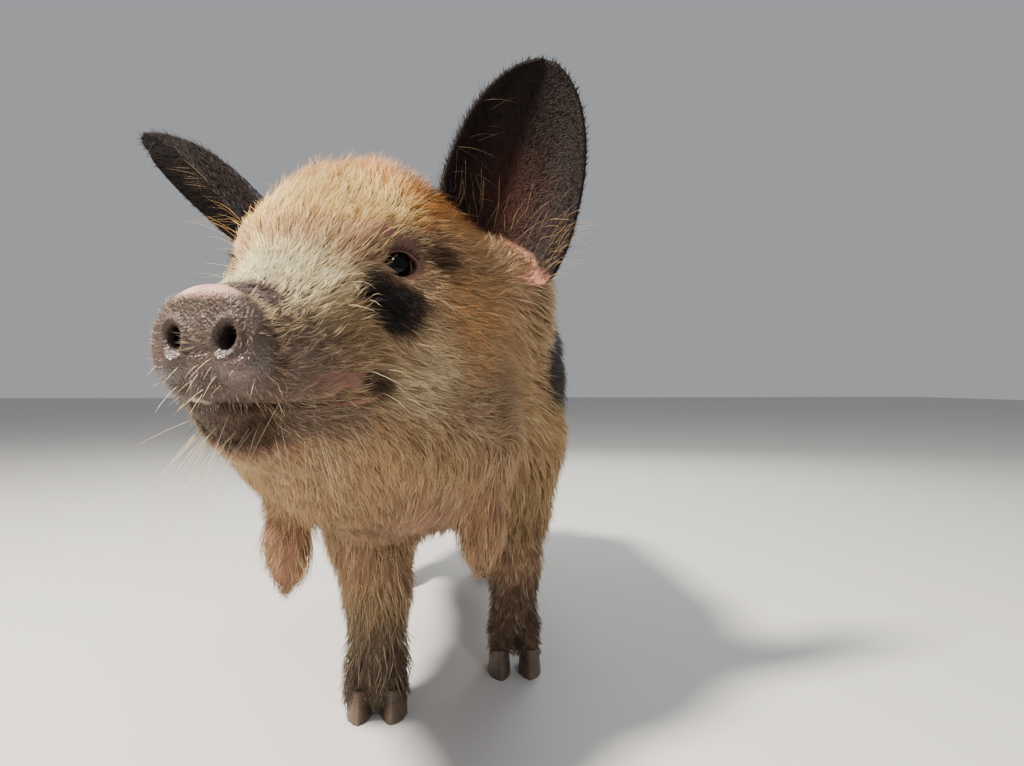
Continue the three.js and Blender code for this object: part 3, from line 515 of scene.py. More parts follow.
def bareness(p):
    """1 where the skin shows bare, as on the snout disc, lids and pink lips, and 0 under the coat."""
    h = to_head(p)
    pink = np.minimum(*[far_from(h, (s * 33, -58, -51.5), (12, 12, 4.4)) for s in (1, -1)])
    shares = (
        on_disc(h),
        fade(near_eyes(h), 12.5, 17),
        0.8 * fade(pink + 0.12 * mottle(p, 2.2, 5), 0.7, 1.15),
        mouth_groove(h, 1.6, -40, -30),
        0.66 * fade(far_from(p, *EAR_PATCH) + 0.12 * mottle(p, 3.0, 6), 0.6, 1.15),
        0.9 * fade(far_from(h, *NOSE_FOLDS) + 0.12 * mottle(p, 2.0, 7), 0.6, 1.15),
    )
    return np.clip(np.maximum.reduce(shares), 0, 1)


def on_wattle(p):
    spread = [far_from(p, (x + side, y, z - 20), (19, 18, 34)) for side, (x, y, z) in WATTLE_ROOTS.items()]
    return fade(np.minimum(*spread), 0.75, 1.0)


def coat_depth(p):
    """How far the skin lies inside the flesh that the coat covers."""
    on_face = smooth(to_head(p)[:, 1], -20, 60)
    thick = 0.7 + 2.7 * on_face * (1 - 0.6 * fade(p[:, 2], 40, 90))
    return thick * (1 - bareness(p)) * (1 - 0.6 * on_wattle(p))


def face_forms(p):
    """How far the finer forms of the face stand out along the flesh's slope, and back along the head."""
    h = to_head(p)
    x, y, z = h.T

    # Lips, parted by a groove that runs out at the corner of the mouth
    line = z - mouth_height(y)
    lips = 1.5 * bell(line, 5.0, 3.4) * (0.35 + 0.65 * bell(y, -52, 14)) + 0.7 * bell(line, -3.2, 2.0)
    out = (lips - 2.6 * bell(line, 0, 1.0)) * fade(y, -36, -25) * (np.abs(x) < 62)
    out -= 1.1 * bell(y + 30 - 0.35 * (z + 54), 0, 2.6) * bell(z, -53, 8) * (np.abs(x) > 15)

    # The snout disc: rim, dish, nostrils, the cleft below them and the swellings beside it
    spread = np.hypot(x / DISC_HALF[0], (z + SNOUT_DROP) / DISC_HALF[2])
    hole = nostril_spread(h)
    back = 1.6 * fade(spread, 0.45, 0.9) - 0.9 * bell(spread, 0.92, 0.13)
    back += 8.5 * fade(hole, 0.5, 1.1) - 1.3 * bell(hole, 1.6, 0.4)
    for s in (1, -1):
        back -= 4.0 * bell(x, s * 11.3, 6.0) * bell(z, -46.2, 4.0)
        back += 1.3 * bell(x - s * 5.0 + s * 0.25 * (z + 50), 0, 1.3) * bell(z, -51, 5)
    back += 0.8 * bell(z, -41, 1.2) * fade(np.abs(x), 5, 9) - 2.4 * bell(x, 0, 4.5) * bell(z, -50.5, 4.5)
    back = back * fade(y, -90, -84) - 3.0 * bell(x, -1.4, 2.6) * bell(z, -58.5, 2.2) * fade(y, -88, -80)

    # The neck of the disc and the wrinkles on the nose behind it
    out -= 1.5 * bell(y, -81, 3.2) * (1 - bell(z, -58, 9))
    top = smooth(z, -32, -19) * fade(np.abs(x), 12, 21)
    for fold_y, deep in ((-83.0, 1.2), (-77.5, 1.3), (-72.0, 0.9), (-66.0, 0.5)):
        wander = fold_y + 1.2 * np.sin(x * 0.28 + fold_y) + 0.05 * x**2 / 4
        out += deep * (bell(y, wander + 2.2, 1.6) - 1.1 * bell(y, wander, 1.0)) * top

    # Brows, and the creases and the pouch round the eyes
    for s in (1, -1):
        out += 2.2 * bell(far_from(h, (s * 34, -14, 14), (13, 11, 4.5)), 0, 1)
        out -= 1.5 * bell(far_from(h, (s * 35, -15, 6.8), (10, 9, 2.6)), 0, 1)
        far = far_from(h, EYES[s])
        over = smooth(z - EYE_AT[2], -2, 4)
        upper = 0.35 * bell(far, 16.2, 1.2) - 0.5 * bell(far, 14.4, 0.7) - 0.3 * bell(far, 18.6, 0.8)
        lower = 0.45 * bell(far, 17.2, 1.4) - 0.5 * bell(far, 15.0, 0.9)
        out += upper * over + lower * (1 - over) * fade(far, 19, 25)
    return out, back


def leaf_of_ear(ear, s, t):
    """A place on the middle of an ear's leaf, s from root to tip and t across it towards the crown."""
    root, tip = (np.array(ear[k], float) for k in ("root", "tip"))
    axis, crownward, ahead = ear_axes(ear)
    leaf = np.maximum(1 - np.maximum((s - 0.3) / 0.7, 0) ** 2.5, 0.012) ** 0.6
    narrow, wide = EAR_ROOT_HALF_WIDTH - 1, EAR_HALF_WIDTH - 1
    half = (narrow + (wide - narrow) * smooth(s, -0.05, 0.32)) * leaf
    rim = 4 * np.maximum(t - 0.7, 0) * leaf
    wave = 1.2 * np.sin(6 * t * ear["side"] + 2.0) * np.sin(s * math.pi) * leaf
    x = half * t - rim
    y = ear["cup"] * (1.25 - 0.75 * s) * leaf * (t * t - 0.45) - 7 * np.sin(s * math.pi) + rim * 4 + wave
    slant = EAR_SLANT * x / half * np.minimum(s / 0.14, 1) * (1 - s)
    rise = -16 + (np.linalg.norm(tip - root) + 16) * s + slant
    return root + sum_along((rise, axis), (x, crownward), (y, ahead))


def model_ear(name, ear):
    start_fresh()
    bpy.ops.mesh.primitive_grid_add(x_subdivisions=20, y_subdivisions=26, size=2)
    piece = bpy.context.object
    piece.name = name
    flat = read(piece.data.vertices, "co")
    put_places(piece, leaf_of_ear(ear, ((flat[:, 1] + 1) / 2) ** 0.85, flat[:, 0] * ear["side"]))
    with_modifier(piece, "SOLIDIFY", thickness=EAR_THICKNESS * MM, offset=0, use_even_offset=True)
    with_modifier(piece, "SUBSURF", levels=1, render_levels=1)
    on_all_faces(piece, bpy.ops.mesh.normals_make_consistent, inside=False)
    return piece


def cut_or_join(piece, tool, operation):
    with_modifier(piece, "BOOLEAN", operation=operation, solver="MANIFOLD", object=tool)
    bpy.data.objects.remove(tool)


def model_lid_opening(side):
    """An almond that flares outwards along the gaze, to open the lids."""
    centre, out, across, up = eye_axes(side)
    start_fresh()
    bpy.ops.mesh.primitive_circle_add(vertices=48, radius=1, fill_type="NGON")
    piece = bpy.context.object
    switch_to("EDIT")
    for _ in range(2):
        bpy.ops.mesh.extrude_region_move(TRANSFORM_OT_translate={"value": (0, 0, 1)})
    switch_to("OBJECT")
    flat = read(piece.data.vertices, "co")
    level = np.rint(flat[:, 2]).astype(int)
    reach = np.array((3.0, 9.5, 26.0))[level]
    flare = np.array((0.98, 1.03, 1.45))[level]
    wide = LID_OPENING[0] * flare * flat[:, 0] + LID_SHIFT * side
    high = LID_OPENING[1] * flare * flat[:, 1] * (1 - LID_DROOP * flat[:, 0] ** 2)
    put_places(piece, centre + sum_along((reach, out), (wide, across), (high, up)))
    on_all_faces(piece, bpy.ops.mesh.normals_make_consistent, inside=False)
    return piece


def fitted(piece, rounds=1):
    """Evens a skin out and draws it back to the flesh, sunk by the coat's depth."""
    for _ in range(rounds):
        on_all_faces(piece, bpy.ops.mesh.vertices_smooth, factor=0.5, repeat=2)
        p = places_of(piece)
        p = in_pieces(lambda q: drawn_to(q, -coat_depth(q)), p)
        put_places(piece, flattened_at_coronets(p))


def add_all_forms():
    pieces = [piece for form in HEAD for piece in add_form(form, True)]
    for group in (TRUNK, *LIMBS, *HANGING):
        pieces += [piece for form in group for piece in add_form(form)]
    return pieces


def model_skin():
    skin = join_all(add_all_forms(), "skin")
    with_modifier(skin, "REMESH", mode="VOXEL", voxel_size=SKIN_VOXEL * MM, adaptivity=0)
    fitted(skin, 2)

    x, y, z = to_head(faces_at(skin)).T
    subdivided(skin, (y < 26) & (np.abs(x) < 66) & (z > -100))
    fitted(skin)

    h = to_head(faces_at(skin))
    x, y, z = h.T
    mouth = (np.abs(z - mouth_height(y)) < 7) & (y < -23)
    subdivided(skin, ((y < -60) | mouth | (near_eyes(h) < 21)) & (np.abs(x) < 62) & (z > -90))
    fitted(skin)

    p = places_of(skin)
    slope, _ = outward(p)
    out, back = face_forms(p)
    put_places(skin, p + unit(slope) * out[:, None] + np.multiply.outer(back, HEAD_AXES[:, 1]))

    for side in (1, -1):
        cut_or_join(skin, model_lid_opening(side), "DIFFERENCE")
        socket = add_ball(eye_axes(side)[0], [EYE_RADIUS + 0.2] * 3, fineness=5)
        bpy.ops.object.transform_apply()
        cut_or_join(skin, socket, "DIFFERENCE")
    for name, ear in EARS.items():
        cut_or_join(skin, model_ear("leaf_" + name, ear), "UNION")

    p = places_of(skin)
    near_ears = np.minimum(*[far_from(p, ear["root"]) for ear in EARS.values()]) < 52
    select_parts(skin, "VERT", near_ears & (np.abs(in_pieces(flesh, p) + 1) < 3.5))
    bpy.ops.mesh.vertices_smooth(factor=0.5, repeat=8)
    start_fresh()
    return skin


skin = model_skin()


# Markings. Each mark is an egg of colour on the coat, in the head's frame or the trunk's, drawn in order.


def ink(red, green, blue):
    """A colour as seen, made linear."""
    seen = np.array((red, green, blue)) / 255
    return np.where(seen <= 0.04045, seen / 12.92, ((seen + 0.055) / 1.055) ** 2.4)


def mixed(colour, shade, share):
    return colour + share[:, None] * (shade - colour)


def both(row, *places):
    """A row of a table, and its mirror image, in which the places at these positions change sides."""
    return row, tuple(np.multiply(v, (-1, 1, 1)) if i in places else v for i, v in enumerate(row))


CREAM = ink(236, 216, 172)
PALE_TAN = ink(190, 154, 115)
STRAW = ink(214, 190, 152)
PALE_GOLD = ink(232, 190, 120)
GINGER = ink(206, 140, 72)
FOX = ink(186, 138, 90)
TAN = ink(164, 134, 104)
ROSY = ink(156, 120, 97)
UMBER = ink(76, 56, 42)
BLACK = ink(30, 27, 27)
EAR_BLACK = ink(20, 16, 15)
SILVER = ink(128, 122, 120)
GREY_TAN = ink(108, 93, 80)
GREY_BROWN = ink(140, 118, 100)

# The middle of each mark, its half sizes, its colour and how soft its edge is
HEAD_COAT = (
    ((0, 28, 40), (54, 60, 44), GINGER, 0.32),
    ((0, -20, 23), (40, 28, 17), PALE_GOLD, 0.5),
    ((62, 12, -22), (18, 24, 26), FOX, 0.7),
    *both(((44, -18, -46), (16, 24, 18), STRAW, 0.7), 0),
    ((0, -58, -18), (30, 42, 20), CREAM, 0.4),
    ((0, -66, -44), (44, 24, 18), GREY_BROWN, 0.45),
    ((0, -98, -38), (34, 13, 26), GREY_BROWN * 0.8, 0.3),
    ((0, -40, -86), (46, 46, 22), PALE_TAN, 0.5),
    *both(((38, -40, -34), (18, 24, 16), PALE_TAN * 0.8, 0.7), 0),
    ((6, -86, -68), (22, 19, 10), UMBER * 0.7, 0.35),
    ((27, -60, -66), (24, 20, 6), GREY_BROWN, 0.4),
    *both(((39, -40, -54), (9, 8, 6), UMBER, 0.4), 0),
    ((32, -14, 20), (16, 16, 8), PALE_GOLD, 0.5),
    ((50, 4, 3), (6, 8, 12), UMBER, 0.6),
    ((36.5, -24, -18.5), (19, 15, 13.5), BLACK, 0.17),
    ((-40, -16, -16), (12, 15, 14), BLACK, 0.16),
    ((36, 24, 46), (14, 22, 14), UMBER * 1.5, 0.5),
    ((-44, 34, 36), (12, 18, 13), UMBER * 1.5, 0.5),
)
TRUNK_COAT = (
    ((0, 60, 262), (58, 260, 60), FOX, 0.5),
    ((0, 60, 92), (70, 200, 34), PALE_TAN, 0.4),
    ((4, -158, 122), (70, 50, 44), ROSY, 0.5),
    ((-44, -176, 150), (40, 40, 34), PALE_TAN, 0.5),
    ((72, -90, 198), (32, 34, 33), BLACK, 0.2),
    ((62, 118, 226), (40, 44, 46), BLACK, 0.2),
    ((-74, 10, 214), (34, 50, 40), BLACK, 0.2),
    ((-58, 190, 168), (36, 34, 30), BLACK, 0.2),
    ((8, 236, 222), (30, 22, 26), BLACK, 0.2),
    ((14, 266, 190), (30, 17, 52), BLACK, 0.2),
)


def drawn_marks(p, marks, colour, wander=0.0):
    """Draws marks over a colour. Their edges are ragged, and wander broadly where that is asked."""
    ragged = 0.11 * mottle(p, 6.0, 3) + 0.06 * mottle(p, 1.8, 4)
    ragged = ragged + wander * mottle(p, 19.0, 9)
    for centre, half, shade, soft in marks:
        colour = mixed(colour, shade, fade(far_from(p, centre, half) + ragged, 1 - soft, 1 + soft))
    return colour


def on_ear(p):
    """Which ear each point is on, 1 for left and -1 for right, and where along and across its leaf."""
    which, rise, width = np.zeros((3, len(p)))
    for ear in EARS.values():
        length = np.linalg.norm(np.subtract(ear["tip"], ear["root"]))
        z, x, y = ((p - ear["root"]) @ way for way in ear_axes(ear))
        near = (z > -14) & (np.abs(x) < 46) & (np.abs(y) < 34) & (z < length + 8)
        which[near] = ear["side"]
        rise[near] = z[near] / length
        width[near] = x[near] / EAR_HALF_WIDTH
    return which, rise, width


def coat_colour(p):
    """The colour of the hair that grows at each point."""
    warm = smooth(mottle(p, 26.0, 8), -0.6, 0.7)
    # Towards the ground the hair turns a darker grey-tan: partly the legs' own greyer hair, partly painted
    # shade under the body.
    colour = mixed(mixed(TAN, PALE_GOLD, 0.3 * warm), GREY_TAN, fade(p[:, 2], 30, 135))
    colour = drawn_marks(p, TRUNK_COAT, colour, 0.12)
    colour = mixed(colour, PALE_TAN, 0.7 * on_wattle(p))
    h = to_head(p)
    on_face = drawn_marks(h, HEAD_COAT, mixed(TAN, PALE_GOLD, 0.5 * warm))
    return mixed(colour, on_face, fade(h[:, 1], 40, 85) * smooth(p[:, 2], 130, 160))


PINK = ink(186, 128, 108)
PALE_PINK = ink(196, 146, 122)
DARK_SKIN = ink(22, 16, 15)
SNOUT_GREY = ink(70, 57, 52)
RIM_PINK_AND_HIGHLIGHT = ink(190, 146, 134)
LIP_PINK = ink(130, 94, 83)
MUZZLE_SKIN = ink(100, 83, 76)
MOUTH_SHADE = ink(42, 30, 27)
NOSTRIL_SHADE = ink(36, 26, 26)
EYE_SKIN = ink(104, 76, 66)
LID_SHADE = ink(36, 27, 25)
FOOT_SKIN = ink(112, 88, 70)
EAR_RED = ink(50, 25, 18)

FACE_SKIN = (
    ((0, -70, -40), (40, 30, 34), MUZZLE_SKIN, 0.35),
    ((0, -92, -40), (34, 22, 30), SNOUT_GREY, 0.25),
    # The pale pink band on the top rim of the disc is partly the rim's own pink and partly a painted
    # highlight where the light falls on top.
    ((-2, -94, -17.0), (20, 10, 5.0), RIM_PINK_AND_HIGHLIGHT, 0.4),
    ((15, -96, -50), (7, 8, 6), ink(94, 72, 67), 0.7),
    ((10, -80, -20), (17, 9, 8), ink(78, 66, 62), 0.5),
    *both(((33, -58, -51.5), (12, 13, 4.8), LIP_PINK, 0.5), 0),
    ((6, -86, -68), (22, 19, 9), UMBER * 0.7, 0.4),
    ((-1.4, -96, -58.8), (3.0, 7, 2.0), ink(190, 170, 158), 0.3),
)


def skin_colour(p):
    """The colour of the bare skin: pink under pale hair, dark under dark hair, with painted shade under the
    coat, in the lid rims, the parting of the lips and the nostrils.
    """
    h = to_head(p)
    colour = mixed(PALE_PINK, PINK, 0.5 + 0.5 * mottle(p, 12.0, 21))
    colour = mixed(colour, DARK_SKIN, fade(coat_colour(p).mean(1), 0.02, 0.16))
    colour = mixed(colour, FOOT_SKIN, 0.8 * fade(p[:, 2], 20, 70))
    # Painted shade: under the coat the skin is darkened, so the gaps between the hairs look shaded.
    colour = colour * (0.55 + 0.45 * bareness(p)[:, None])
    colour = drawn_marks(h, FACE_SKIN, colour)
    speckle = 0.2 * mottle(p, 1.9, 62) + 0.16 * mottle(p, 5.0, 63)
    colour = colour * (1 + np.clip(speckle, -0.6, 0.8) * fade(h[:, 1], -80, -60))[:, None]
    colour = mixed(colour, EYE_SKIN, fade(near_eyes(h) + 2.5 * mottle(p, 3.0, 51), 15, 24))
    # Painted shade: the lid rims and the wall of the socket round each eye are darkened almost to black.
    colour = mixed(colour, LID_SHADE, fade(near_eyes(h), 11.4, 12.9))
    # Painted shade: the parting of the lips is darkened almost to black.
    colour = mixed(colour, MOUTH_SHADE, mouth_groove(h, 1.3, -34, -27))
    # Painted shade: the nostril holes are darkened almost to black.
    return mixed(colour, NOSTRIL_SHADE, fade(nostril_spread(h), 0.8, 1.25) * (h[:, 1] < -80))


def ear_skin_colour(p):
    """Dark skin, redder deep in the ears' cups, with the pink of the bare patch beside the left ear."""
    _, rise, width = on_ear(p)
    colour = mixed(DARK_SKIN, EAR_RED, bell(rise, 0.22, 0.34) * bell(width, 0.05, 0.5))
    ragged = 0.16 * mottle(p, 4.0, 53) + 0.08 * mottle(p, 1.6, 54)
    spread = far_from(p, EAR_PATCH[0], EAR_PATCH[1] * 1.15) + ragged
    return mixed(colour, PINK * 0.42, fade(spread, 0.75, 1.25))


def paint(piece, colours):
    layer = piece.data.color_attributes.new("tone", "FLOAT_COLOR", "POINT")
    write(layer.data, "color", np.c_[colours, np.ones(len(colours))])


skin_places = places_of(skin)
skin_height = in_pieces(flesh, skin_places)


def finish_skin():
    """Gives the skin its colours, how wet it is, and its unwrap."""
    on_ears = smooth(skin_height, 0.6, 3.0) * (on_ear(skin_places)[0] != 0)
    paint(skin, mixed(in_pieces(skin_colour, skin_places), ear_skin_colour(skin_places), on_ears))
    h = to_head(skin_places)
    wet = 0.3 * on_disc(h) + 0.7 * (fade(h[:, 1], -92, -86) * bell(h[:, 2], -46, 6))
    layer = skin.data.attributes.new("wet", "FLOAT", "POINT")
    write(layer.data, "value", np.clip(wet + 0.6 * fade(near_eyes(h), 11.4, 12.6), 0, 1))
    write(skin.data.polygons, "use_smooth", np.ones(len(skin.data.polygons)), bool)
    on_all_faces(skin, bpy.ops.uv.smart_project, angle_limit=1.15, island_margin=0.002, scale_to_bounds=True)


finish_skin()


# The coat


COMBINGS = (
    # place on the head, how far it reaches, and the way the hair lies there
    ((0, -80, -20), 22, (0.0, 1.0, 0.45)),
    ((0, -50, -8), 26, (0.0, 1.0, 0.5)),
    *both(((26, -52, -28), 20, (0.35, 1.0, 0.35)), 0, 2),
    *both(((30, -58, -52), 16, (0.3, 1.0, -0.12)), 0, 2),
    ((0, -10, 30), 26, (0.15, 0.8, 0.9)),
    *both(((30, -14, 12), 14, (0.9, 1.0, 0.5)), 0, 2),
    ((0, 30, 50), 36, (0.0, 1.0, 0.35)),
    *both(((52, 10, -10), 22, (0.3, 1.0, -0.1)), 0, 2),
    *both(((54, 0, -48), 30, (0.2, 1.0, -0.45)), 0, 2),
    ((0, -84, -66), 14, (0.0, 0.5, -1.0)),
    ((0, -40, -88), 36, (0.0, 1.0, -0.3)),
)
WHORL = (42.0, -160.0, 150.0)


def flattened(way, out):
    """A way with its part along another taken out."""
    return unit(way - (way * out).sum(1)[:, None] * out)


def lie_of_coat(p, out):
    """The way the hair lies at each point, flat on the flesh."""
    h = to_head(p)
    side = np.sign(p[:, 0]) * smooth(np.abs(p[:, 0]), 0, 50)
    below = fade(p[:, 2], 120, 170)
    lie = np.stack((0.12 * side, 1 - 0.5 * below, -0.25 - 0.9 * below), 1)
    lie = mixed(lie, np.array((0, 0.22, -1.0)), fade(p[:, 2], 78, 112))
    lie = mixed(lie, np.array((0, -0.15, -1.0)), bell(far_from(p, (0, -150, 110), (70, 55, 50)), 0, 1))
    away = unit(p - WHORL)
    spun = 0.5 * away + 0.7 * np.cross(away, (0.4, -1.0, 0.0))
    lie = lie + bell(far_from(p, WHORL), 0, 30)[:, None] * spun

    weights = np.stack([bell(far_from(h, place), 0, reach) for place, reach, _ in COMBINGS], 1)
    ways = unit(np.array([way for *_, way in COMBINGS])) @ HEAD_AXES.T
    total = weights.sum(1)
    face = weights @ ways / np.maximum(total, 1e-6)[:, None]
    lie = mixed(unit(lie), face, np.clip(total * 1.6, 0, 1) * fade(h[:, 1], 45, 80))
    for eye in EYES.values():
        lie = lie + bell(far_from(h, eye), 0, 21)[:, None] * (unit(h - eye) @ HEAD_AXES.T)
    sway = np.stack([mottle(p, 9.0, seed) for seed in (31, 32, 33)], 1)
    return flattened(unit(lie) + 0.22 * sway, out)


def hair_length(p):
    h = to_head(p)
    _, y, z = h.T
    length = 18 + 6 * smooth(p[:, 2], 200, 250) - 11 * fade(p[:, 2], 60, 120) - 3 * fade(p[:, 2], 22, 42)
    length = length * (1 - 0.78 * on_wattle(p))
    crown = smooth(z, 8, 34) * smooth(y, -24, 10)
    face = 5.5 + 6.5 * smooth(y, -84, -30) + 9.5 * crown + 7.5 * smooth(y, -10, 36)
    length = length + fade(y, 40, 90) * (face - length)
    length = length - on_disc(h) * (length - 3.0)
    return length * (1 - 0.55 * fade(near_eyes(h), 14, 26))


def corners_of_skin():
    """The corners of the skin's triangles, their places in its unwrap, and the way out at each vertex."""
    skin.data.calc_loop_triangles()
    triangles = skin.data.loop_triangles
    corners, loops = (read(triangles, what, 3, np.int32) for what in ("vertices", "loops"))
    uv = read(skin.data.uv_layers.active.data, "uv", 2, np.float32)
    return corners, uv[loops], read(skin.data.vertices, "normal", 3, np.float32)


skin_corners, skin_uv, skin_normals = corners_of_skin()


def hair_roots(thickness, seed):
    """Roots spread over the skin, `thickness` of them to a square millimetre at each triangle's middle."""
    rng = np.random.default_rng(seed)
    a, b, c = (skin_places[skin_corners[:, k]] for k in range(3))
    area = np.linalg.norm(np.cross(b - a, c - a), axis=1) / 2
    wanted = area * thickness((a + b + c) / 3, skin_height[skin_corners].mean(1))
    total = int(wanted.sum())
    picked = np.searchsorted(np.cumsum(wanted), (np.arange(total) + rng.random(total)) * wanted.sum() / total)
    picked = np.minimum(picked, len(wanted) - 1)
    u, v = rng.random((2, total))
    folded = u + v > 1
    u, v = np.where(folded, 1 - u, u), np.where(folded, 1 - v, v)
    shares = np.stack((1 - u - v, u, v), 1)[:, :, None]
    corner = skin_corners[picked]
    at_corners = (skin_places[corner], skin_normals[corner], skin_uv[picked])
    place, out, uv = ((values * shares).sum(1) for values in at_corners)
    return rng, place, unit(out), uv


def nearest(places, among):
    """For each place, which one of the others is nearest."""
    tree = kdtree.KDTree(len(among))
    for i, p in enumerate(among):
        tree.insert(p, i)
    tree.balance()
    return np.array([tree.find(p)[1] for p in places])


def gathered(place, size, rng):
    """For each root, the root that its tuft gathers to."""
    heads = rng.choice(len(place), max(len(place) // size, 1), replace=False)
    return heads[nearest(place, place[heads])]


SIDES = 3
PATCH = 0.003


def kept_close(rings):
    """Shortens the few hairs that would stray from the solids' own box, or into the floor."""
    low, high = (np.array(corner) / MM - FRAME_SHIFT for corner in cad_box)
    slack = BOX_SLACK * (high - low)
    low, high = low - slack * (1, 1, 0) + np.array((0, 0, FLOOR_GAP)), high + slack
    root = rings[:, :1]
    reach = rings - root
    over = np.maximum(reach / np.maximum(high - root, 0.2), -reach / np.maximum(root - low, 0.2))
    return root + reach / np.maximum(over.max(axis=(1, 2)), 1)[:, None, None]


def faces_of_hair(body):
    """The triangles of one hair: its closed root, its sides between so many rings, and its point."""
    faces = [(2, 1, 0)]
    for k in range(body - 1):
        for i in range(SIDES):
            a, b = k * SIDES + i, k * SIDES + (i + 1) % SIDES
            faces += [(a, b, b + SIDES), (a, b + SIDES, a + SIDES)]
    last = (body - 1) * SIDES
    return np.array(faces + [(last + i, last + (i + 1) % SIDES, body * SIDES) for i in range(SIDES)])


def strands(name, rings, across, out, width, root_tone, tip_tone, uv, flat=0.6):
    """Joins tapered three-sided hairs into one mesh. rings is hairs x rings x 3, the last ring a point."""
    rings = kept_close(rings)
    count, body = len(rings), rings.shape[1] - 1
    taper_to = np.array([1.0, 1.0, 0.72, 0.5][:body])
    angles = np.array((math.pi / 2, math.pi * 7 / 6, math.pi * 11 / 6))[:, None]
    corner = np.cos(angles) / 2 * across[:, :body, None] + np.sin(angles) * flat / 2 * out[:, :body, None]
    ring = rings[:, :body, None] + corner * (width[:, None] * taper_to)[:, :, None, None]
    places = np.concatenate((ring.reshape(count, body * SIDES, 3), rings[:, -1:]), 1)
    each = body * SIDES + 1
    index = (faces_of_hair(body) + (np.arange(count) * each)[:, None, None]).reshape(-1, 3)
    along = np.append(np.repeat(np.arange(body), SIDES), body) / body
    round_it = np.append(np.tile(np.arange(SIDES), body), 1) / (SIDES - 1)

    me = bpy.data.meshes.new(name)
    me.vertices.add(count * each)
    write(me.vertices, "co", in_frame(places))
    me.loops.add(index.size)
    write(me.loops, "vertex_index", index, np.int32)
    me.polygons.add(len(index))
    write(me.polygons, "loop_start", np.arange(len(index)) * 3, np.int32)
    write(me.polygons, "use_smooth", np.ones(len(index)), bool)
    me.update(calc_edges=True)
    patch = np.stack((round_it - 0.5, along - 0.5), 1) * PATCH * 0.9
    spots = np.clip(uv[:, None], PATCH, 1 - PATCH) + patch
    write(me.uv_layers.new(name="OFBake").data, "uv", spots.reshape(-1, 2)[index.ravel()])
    piece = in_scene(name, me)
    tones = root_tone[:, None] + along[:, None] * (tip_tone - root_tone)[:, None]
    paint(piece, tones.reshape(-1, 3))
    return piece


def grow_coat(name, thickness, width_of, seed, tuft=9, lift=0.2):
    """Hairs that follow the lie of the coat over the flesh, and gather in tufts."""
    rng, place, out, uv = hair_roots(thickness, seed)
    count = len(place)
    gather = gathered(place, tuft, rng)
    length = hair_length(place)[gather] * rng.uniform(0.7, 1.2, count)
    rise = length * lift * rng.uniform(0.5, 1.4, count)[gather] * rng.uniform(0.7, 1.3, count)
    sunk = coat_depth(place)
    bulge = np.clip(in_pieces(flesh, place) + sunk, -1, 4)
    wild = rng.random(count) < 0.03
    _, y, z = to_head(place).T
    crown = smooth(z, 20, 40) * smooth(y, -30, 0) * fade(y, 50, 80)
    highest = np.where(wild, 6.5, 5.0) + 3 * crown
    rise = np.minimum(np.where(wild, rise * 2.0, rise), highest) * (1 + 0.5 * crown)
    swing = rng.normal(0, 0.10, count) + np.where(wild, rng.normal(0, 0.3, count), 0)
    swing += rng.normal(0, 0.10, count)[gather]
    here, way, rings = place, in_pieces(lie_of_coat, place, out), []
    for t in (0.0, 0.5, 1.0):
        if t:
            here = here + way * (length * 0.5)[:, None]
        height = -sunk - 0.6 + bulge * (1 - 0.4 * t) + (sunk * 0.8 + rise + 0.6) * t**0.8
        here = in_pieces(lambda q, h: drawn_to(q, h, 1), here, height)
        if t:
            start = rings[0][0]
            middle = start[gather] + (here - start)
            here = here + 0.6 * t**1.3 * (middle - here)
        here[:, 2] = np.maximum(here[:, 2], 1.0)
        facing = unit(in_pieces(lambda q: outward(q)[0], here))
        fresh = in_pieces(lie_of_coat, here, facing)
        way = unit(fresh + np.cross(facing, fresh) * (swing * (0.5 + t))[:, None])
        rings.append((here, np.cross(facing, way), facing))
    shade = rng.normal(1, 0.17, count)[gather] * rng.normal(1, 0.17, count)
    tone = in_pieces(coat_colour, place) * np.clip(shade, 0.5, 1.6)[:, None]
    pale = (rng.random(count) < 0.18) & (tone.mean(1) > 0.1)
    tone = np.where(pale[:, None], tone + 0.5 * (CREAM - tone), tone)
    width = width_of(place) * rng.uniform(0.75, 1.25, count)
    rings = [np.stack(k, 1) for k in zip(*rings)]
    return strands(name, *rings, width, tone * 0.42, np.minimum(tone * 1.22, 0.95), uv)


CHEST_MIDDLE = -6

# Hairs to a square millimetre
FACE_HAIRS = 0.33
FORE_HAIRS = 0.45
TRUNK_HAIRS = 0.225
DISC_HAIRS = 0.5


def head_share(p):
    return fade(to_head(p)[:, 1], 44, 58)


def fore_share(p):
    """1 on the neck, chest and forelegs."""
    return fade(p[:, 1], -34, -22) * (1 - head_share(p))


def rest_share(p):
    return (1 - head_share(p)) * (1 - fore_share(p))


def furred(p, height):
    """How much of its full coat the skin has at each point, for its height over the flesh."""
    h = to_head(p)
    eyes = smooth(near_eyes(h), 11.8, 16)
    holes = (nostril_spread(h) > 1.7) | (h[:, 1] > -70)
    bare = (1 - bareness(p)) * (1 - on_disc(h)) * holes
    inner = bell(far_from(h, (24, -22, 7), (9, 10, 8)), 0, 1)
    thin = (1 - 0.5 * fade(h[:, 1], -84, -54)) * (1 - 0.5 * inner) * (1 - 0.76 * on_wattle(p))
    return (height < 1.0) * bare * eyes * thin


def thickness_of(hairs, share, middle=0, side=0):
    """How thickly hair grows on a part of the body, all over or on one side of its middle."""

    def thickness(p, height):
        on_side = side * (p[:, 0] - middle) > 0 if side else 1
        return hairs * furred(p, height) * share(p) * on_side

    return thickness


def disc_thickness(p, _):
    h = to_head(p)
    lobes = bell(h[:, 2], -45.5, 3.5) * (np.abs(h[:, 0]) < 19)
    around = (on_disc(h) > 0.3) * (h[:, 2] < -22) * (nostril_spread(h) > 1.5)
    return DISC_HAIRS * around * (1 - 0.75 * lobes)


def face_width(p):
    return 0.27 + 0.14 * smooth(to_head(p)[:, 1], -40, 40)


